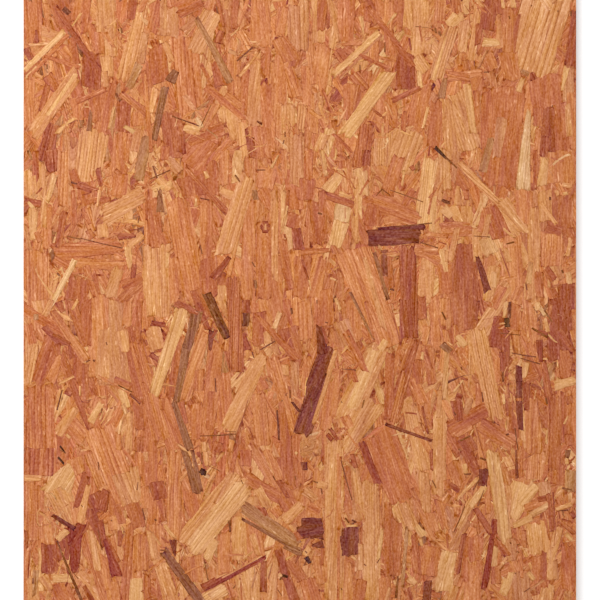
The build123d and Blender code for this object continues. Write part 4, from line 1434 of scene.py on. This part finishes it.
def build_floor():
    """A plain pale floor: white to the camera, with the panel's shadow on it, and clear from below."""
    mesh = bpy.data.meshes.new("floor")
    corners = [(x * FLOOR_HALF, y * FLOOR_HALF, -FLOOR_DROP) for x, y in ((-1, -1), (1, -1), (1, 1), (-1, 1))]
    mesh.from_pydata(corners, [], [(0, 1, 2, 3)])
    floor = bpy.data.objects.new("floor", mesh)
    bpy.context.scene.collection.objects.link(floor)
    # Matt white paper, which gives a soft shadow and no gloss.
    material, tree = new_material("white_paper")
    glow = add(tree, "ShaderNodeMath", {0: shown_white(tree), 1: FLOOR_GLOW}, operation="MULTIPLY")
    lit = add(tree, "ShaderNodeBsdfDiffuse", {"Color": (*linear(FLOOR_COLOUR), 1)})
    white = add(tree, "ShaderNodeEmission", {"Strength": glow})
    paper = add(tree, "ShaderNodeAddShader", {0: lit, 1: white})
    clear = add(tree, "ShaderNodeBsdfTransparent")
    back = add(tree, "ShaderNodeNewGeometry").outputs["Backfacing"]
    far = add(tree, "ShaderNodeLightPath").outputs["Ray Length"]
    touching = add(tree, "ShaderNodeMath", {0: far, 1: FLOOR_TOUCH}, operation="LESS_THAN")
    unseen = add(tree, "ShaderNodeMath", {0: back, 1: touching}, operation="MAXIMUM")
    both = add(tree, "ShaderNodeMixShader", {0: unseen, 1: paper, 2: clear})
    add(tree, "ShaderNodeOutputMaterial", {"Surface": both})
    mesh.materials.append(material)


# The light: the world's strength on the panel and to the camera, then the lamp's size and place in metres
# and its power in watts.
SKY_LIGHT = 0.55
SKY_SHOWN = 1.0
LAMP_SIZE = 2.4
LAMP_PLACE = (-1.5, 1.3, 2.3)
LAMP_POWER = 73


def build_light():
    """Soft even light all round, white to the camera, and one broad lamp from the upper left."""
    world = bpy.data.worlds.new("studio")
    bpy.context.scene.world = world
    world.use_nodes = True
    tree = world.node_tree
    tree.nodes.clear()
    level = add(
        tree,
        "ShaderNodeMapRange",
        {"Value": shown_white(tree), "To Min": SKY_LIGHT, "To Max": SKY_SHOWN},
    )
    sky = add(tree, "ShaderNodeBackground", {"Strength": level})
    add(tree, "ShaderNodeOutputWorld", {"Surface": sky})
    lamp = bpy.data.lights.new("soft_box", "AREA")
    lamp.shape = "DISK"
    lamp.size = LAMP_SIZE
    lamp.energy = LAMP_POWER
    holder = bpy.data.objects.new("soft_box", lamp)
    holder.location = LAMP_PLACE
    holder.rotation_euler = (-holder.location).to_track_quat("-Z", "Y").to_euler()
    bpy.context.scene.collection.objects.link(holder)


# The camera's focal length, and the width of the picture behind its lens.
LENS = 100
SENSOR = 36


def build_camera():
    """A long lens straight above, so far up that the photograph's width fills the frame at the face."""
    lens = bpy.data.cameras.new("camera")
    lens.lens = LENS
    lens.sensor_width = SENSOR
    aside = (PHOTO_SIZE / 2 - PHOTO_CENTRE[0]) * MM_PER_PIXEL
    height = THICKNESS + PHOTO_SIZE * MM_PER_PIXEL * LENS / SENSOR
    camera = bpy.data.objects.new("camera", lens)
    camera.location = (aside * MM, 0, height * MM)
    bpy.context.scene.collection.objects.link(camera)
    bpy.context.scene.camera = camera


build_panel()
build_floor()
build_light()
build_camera()
bpy.context.scene.view_settings.view_transform = "Standard"
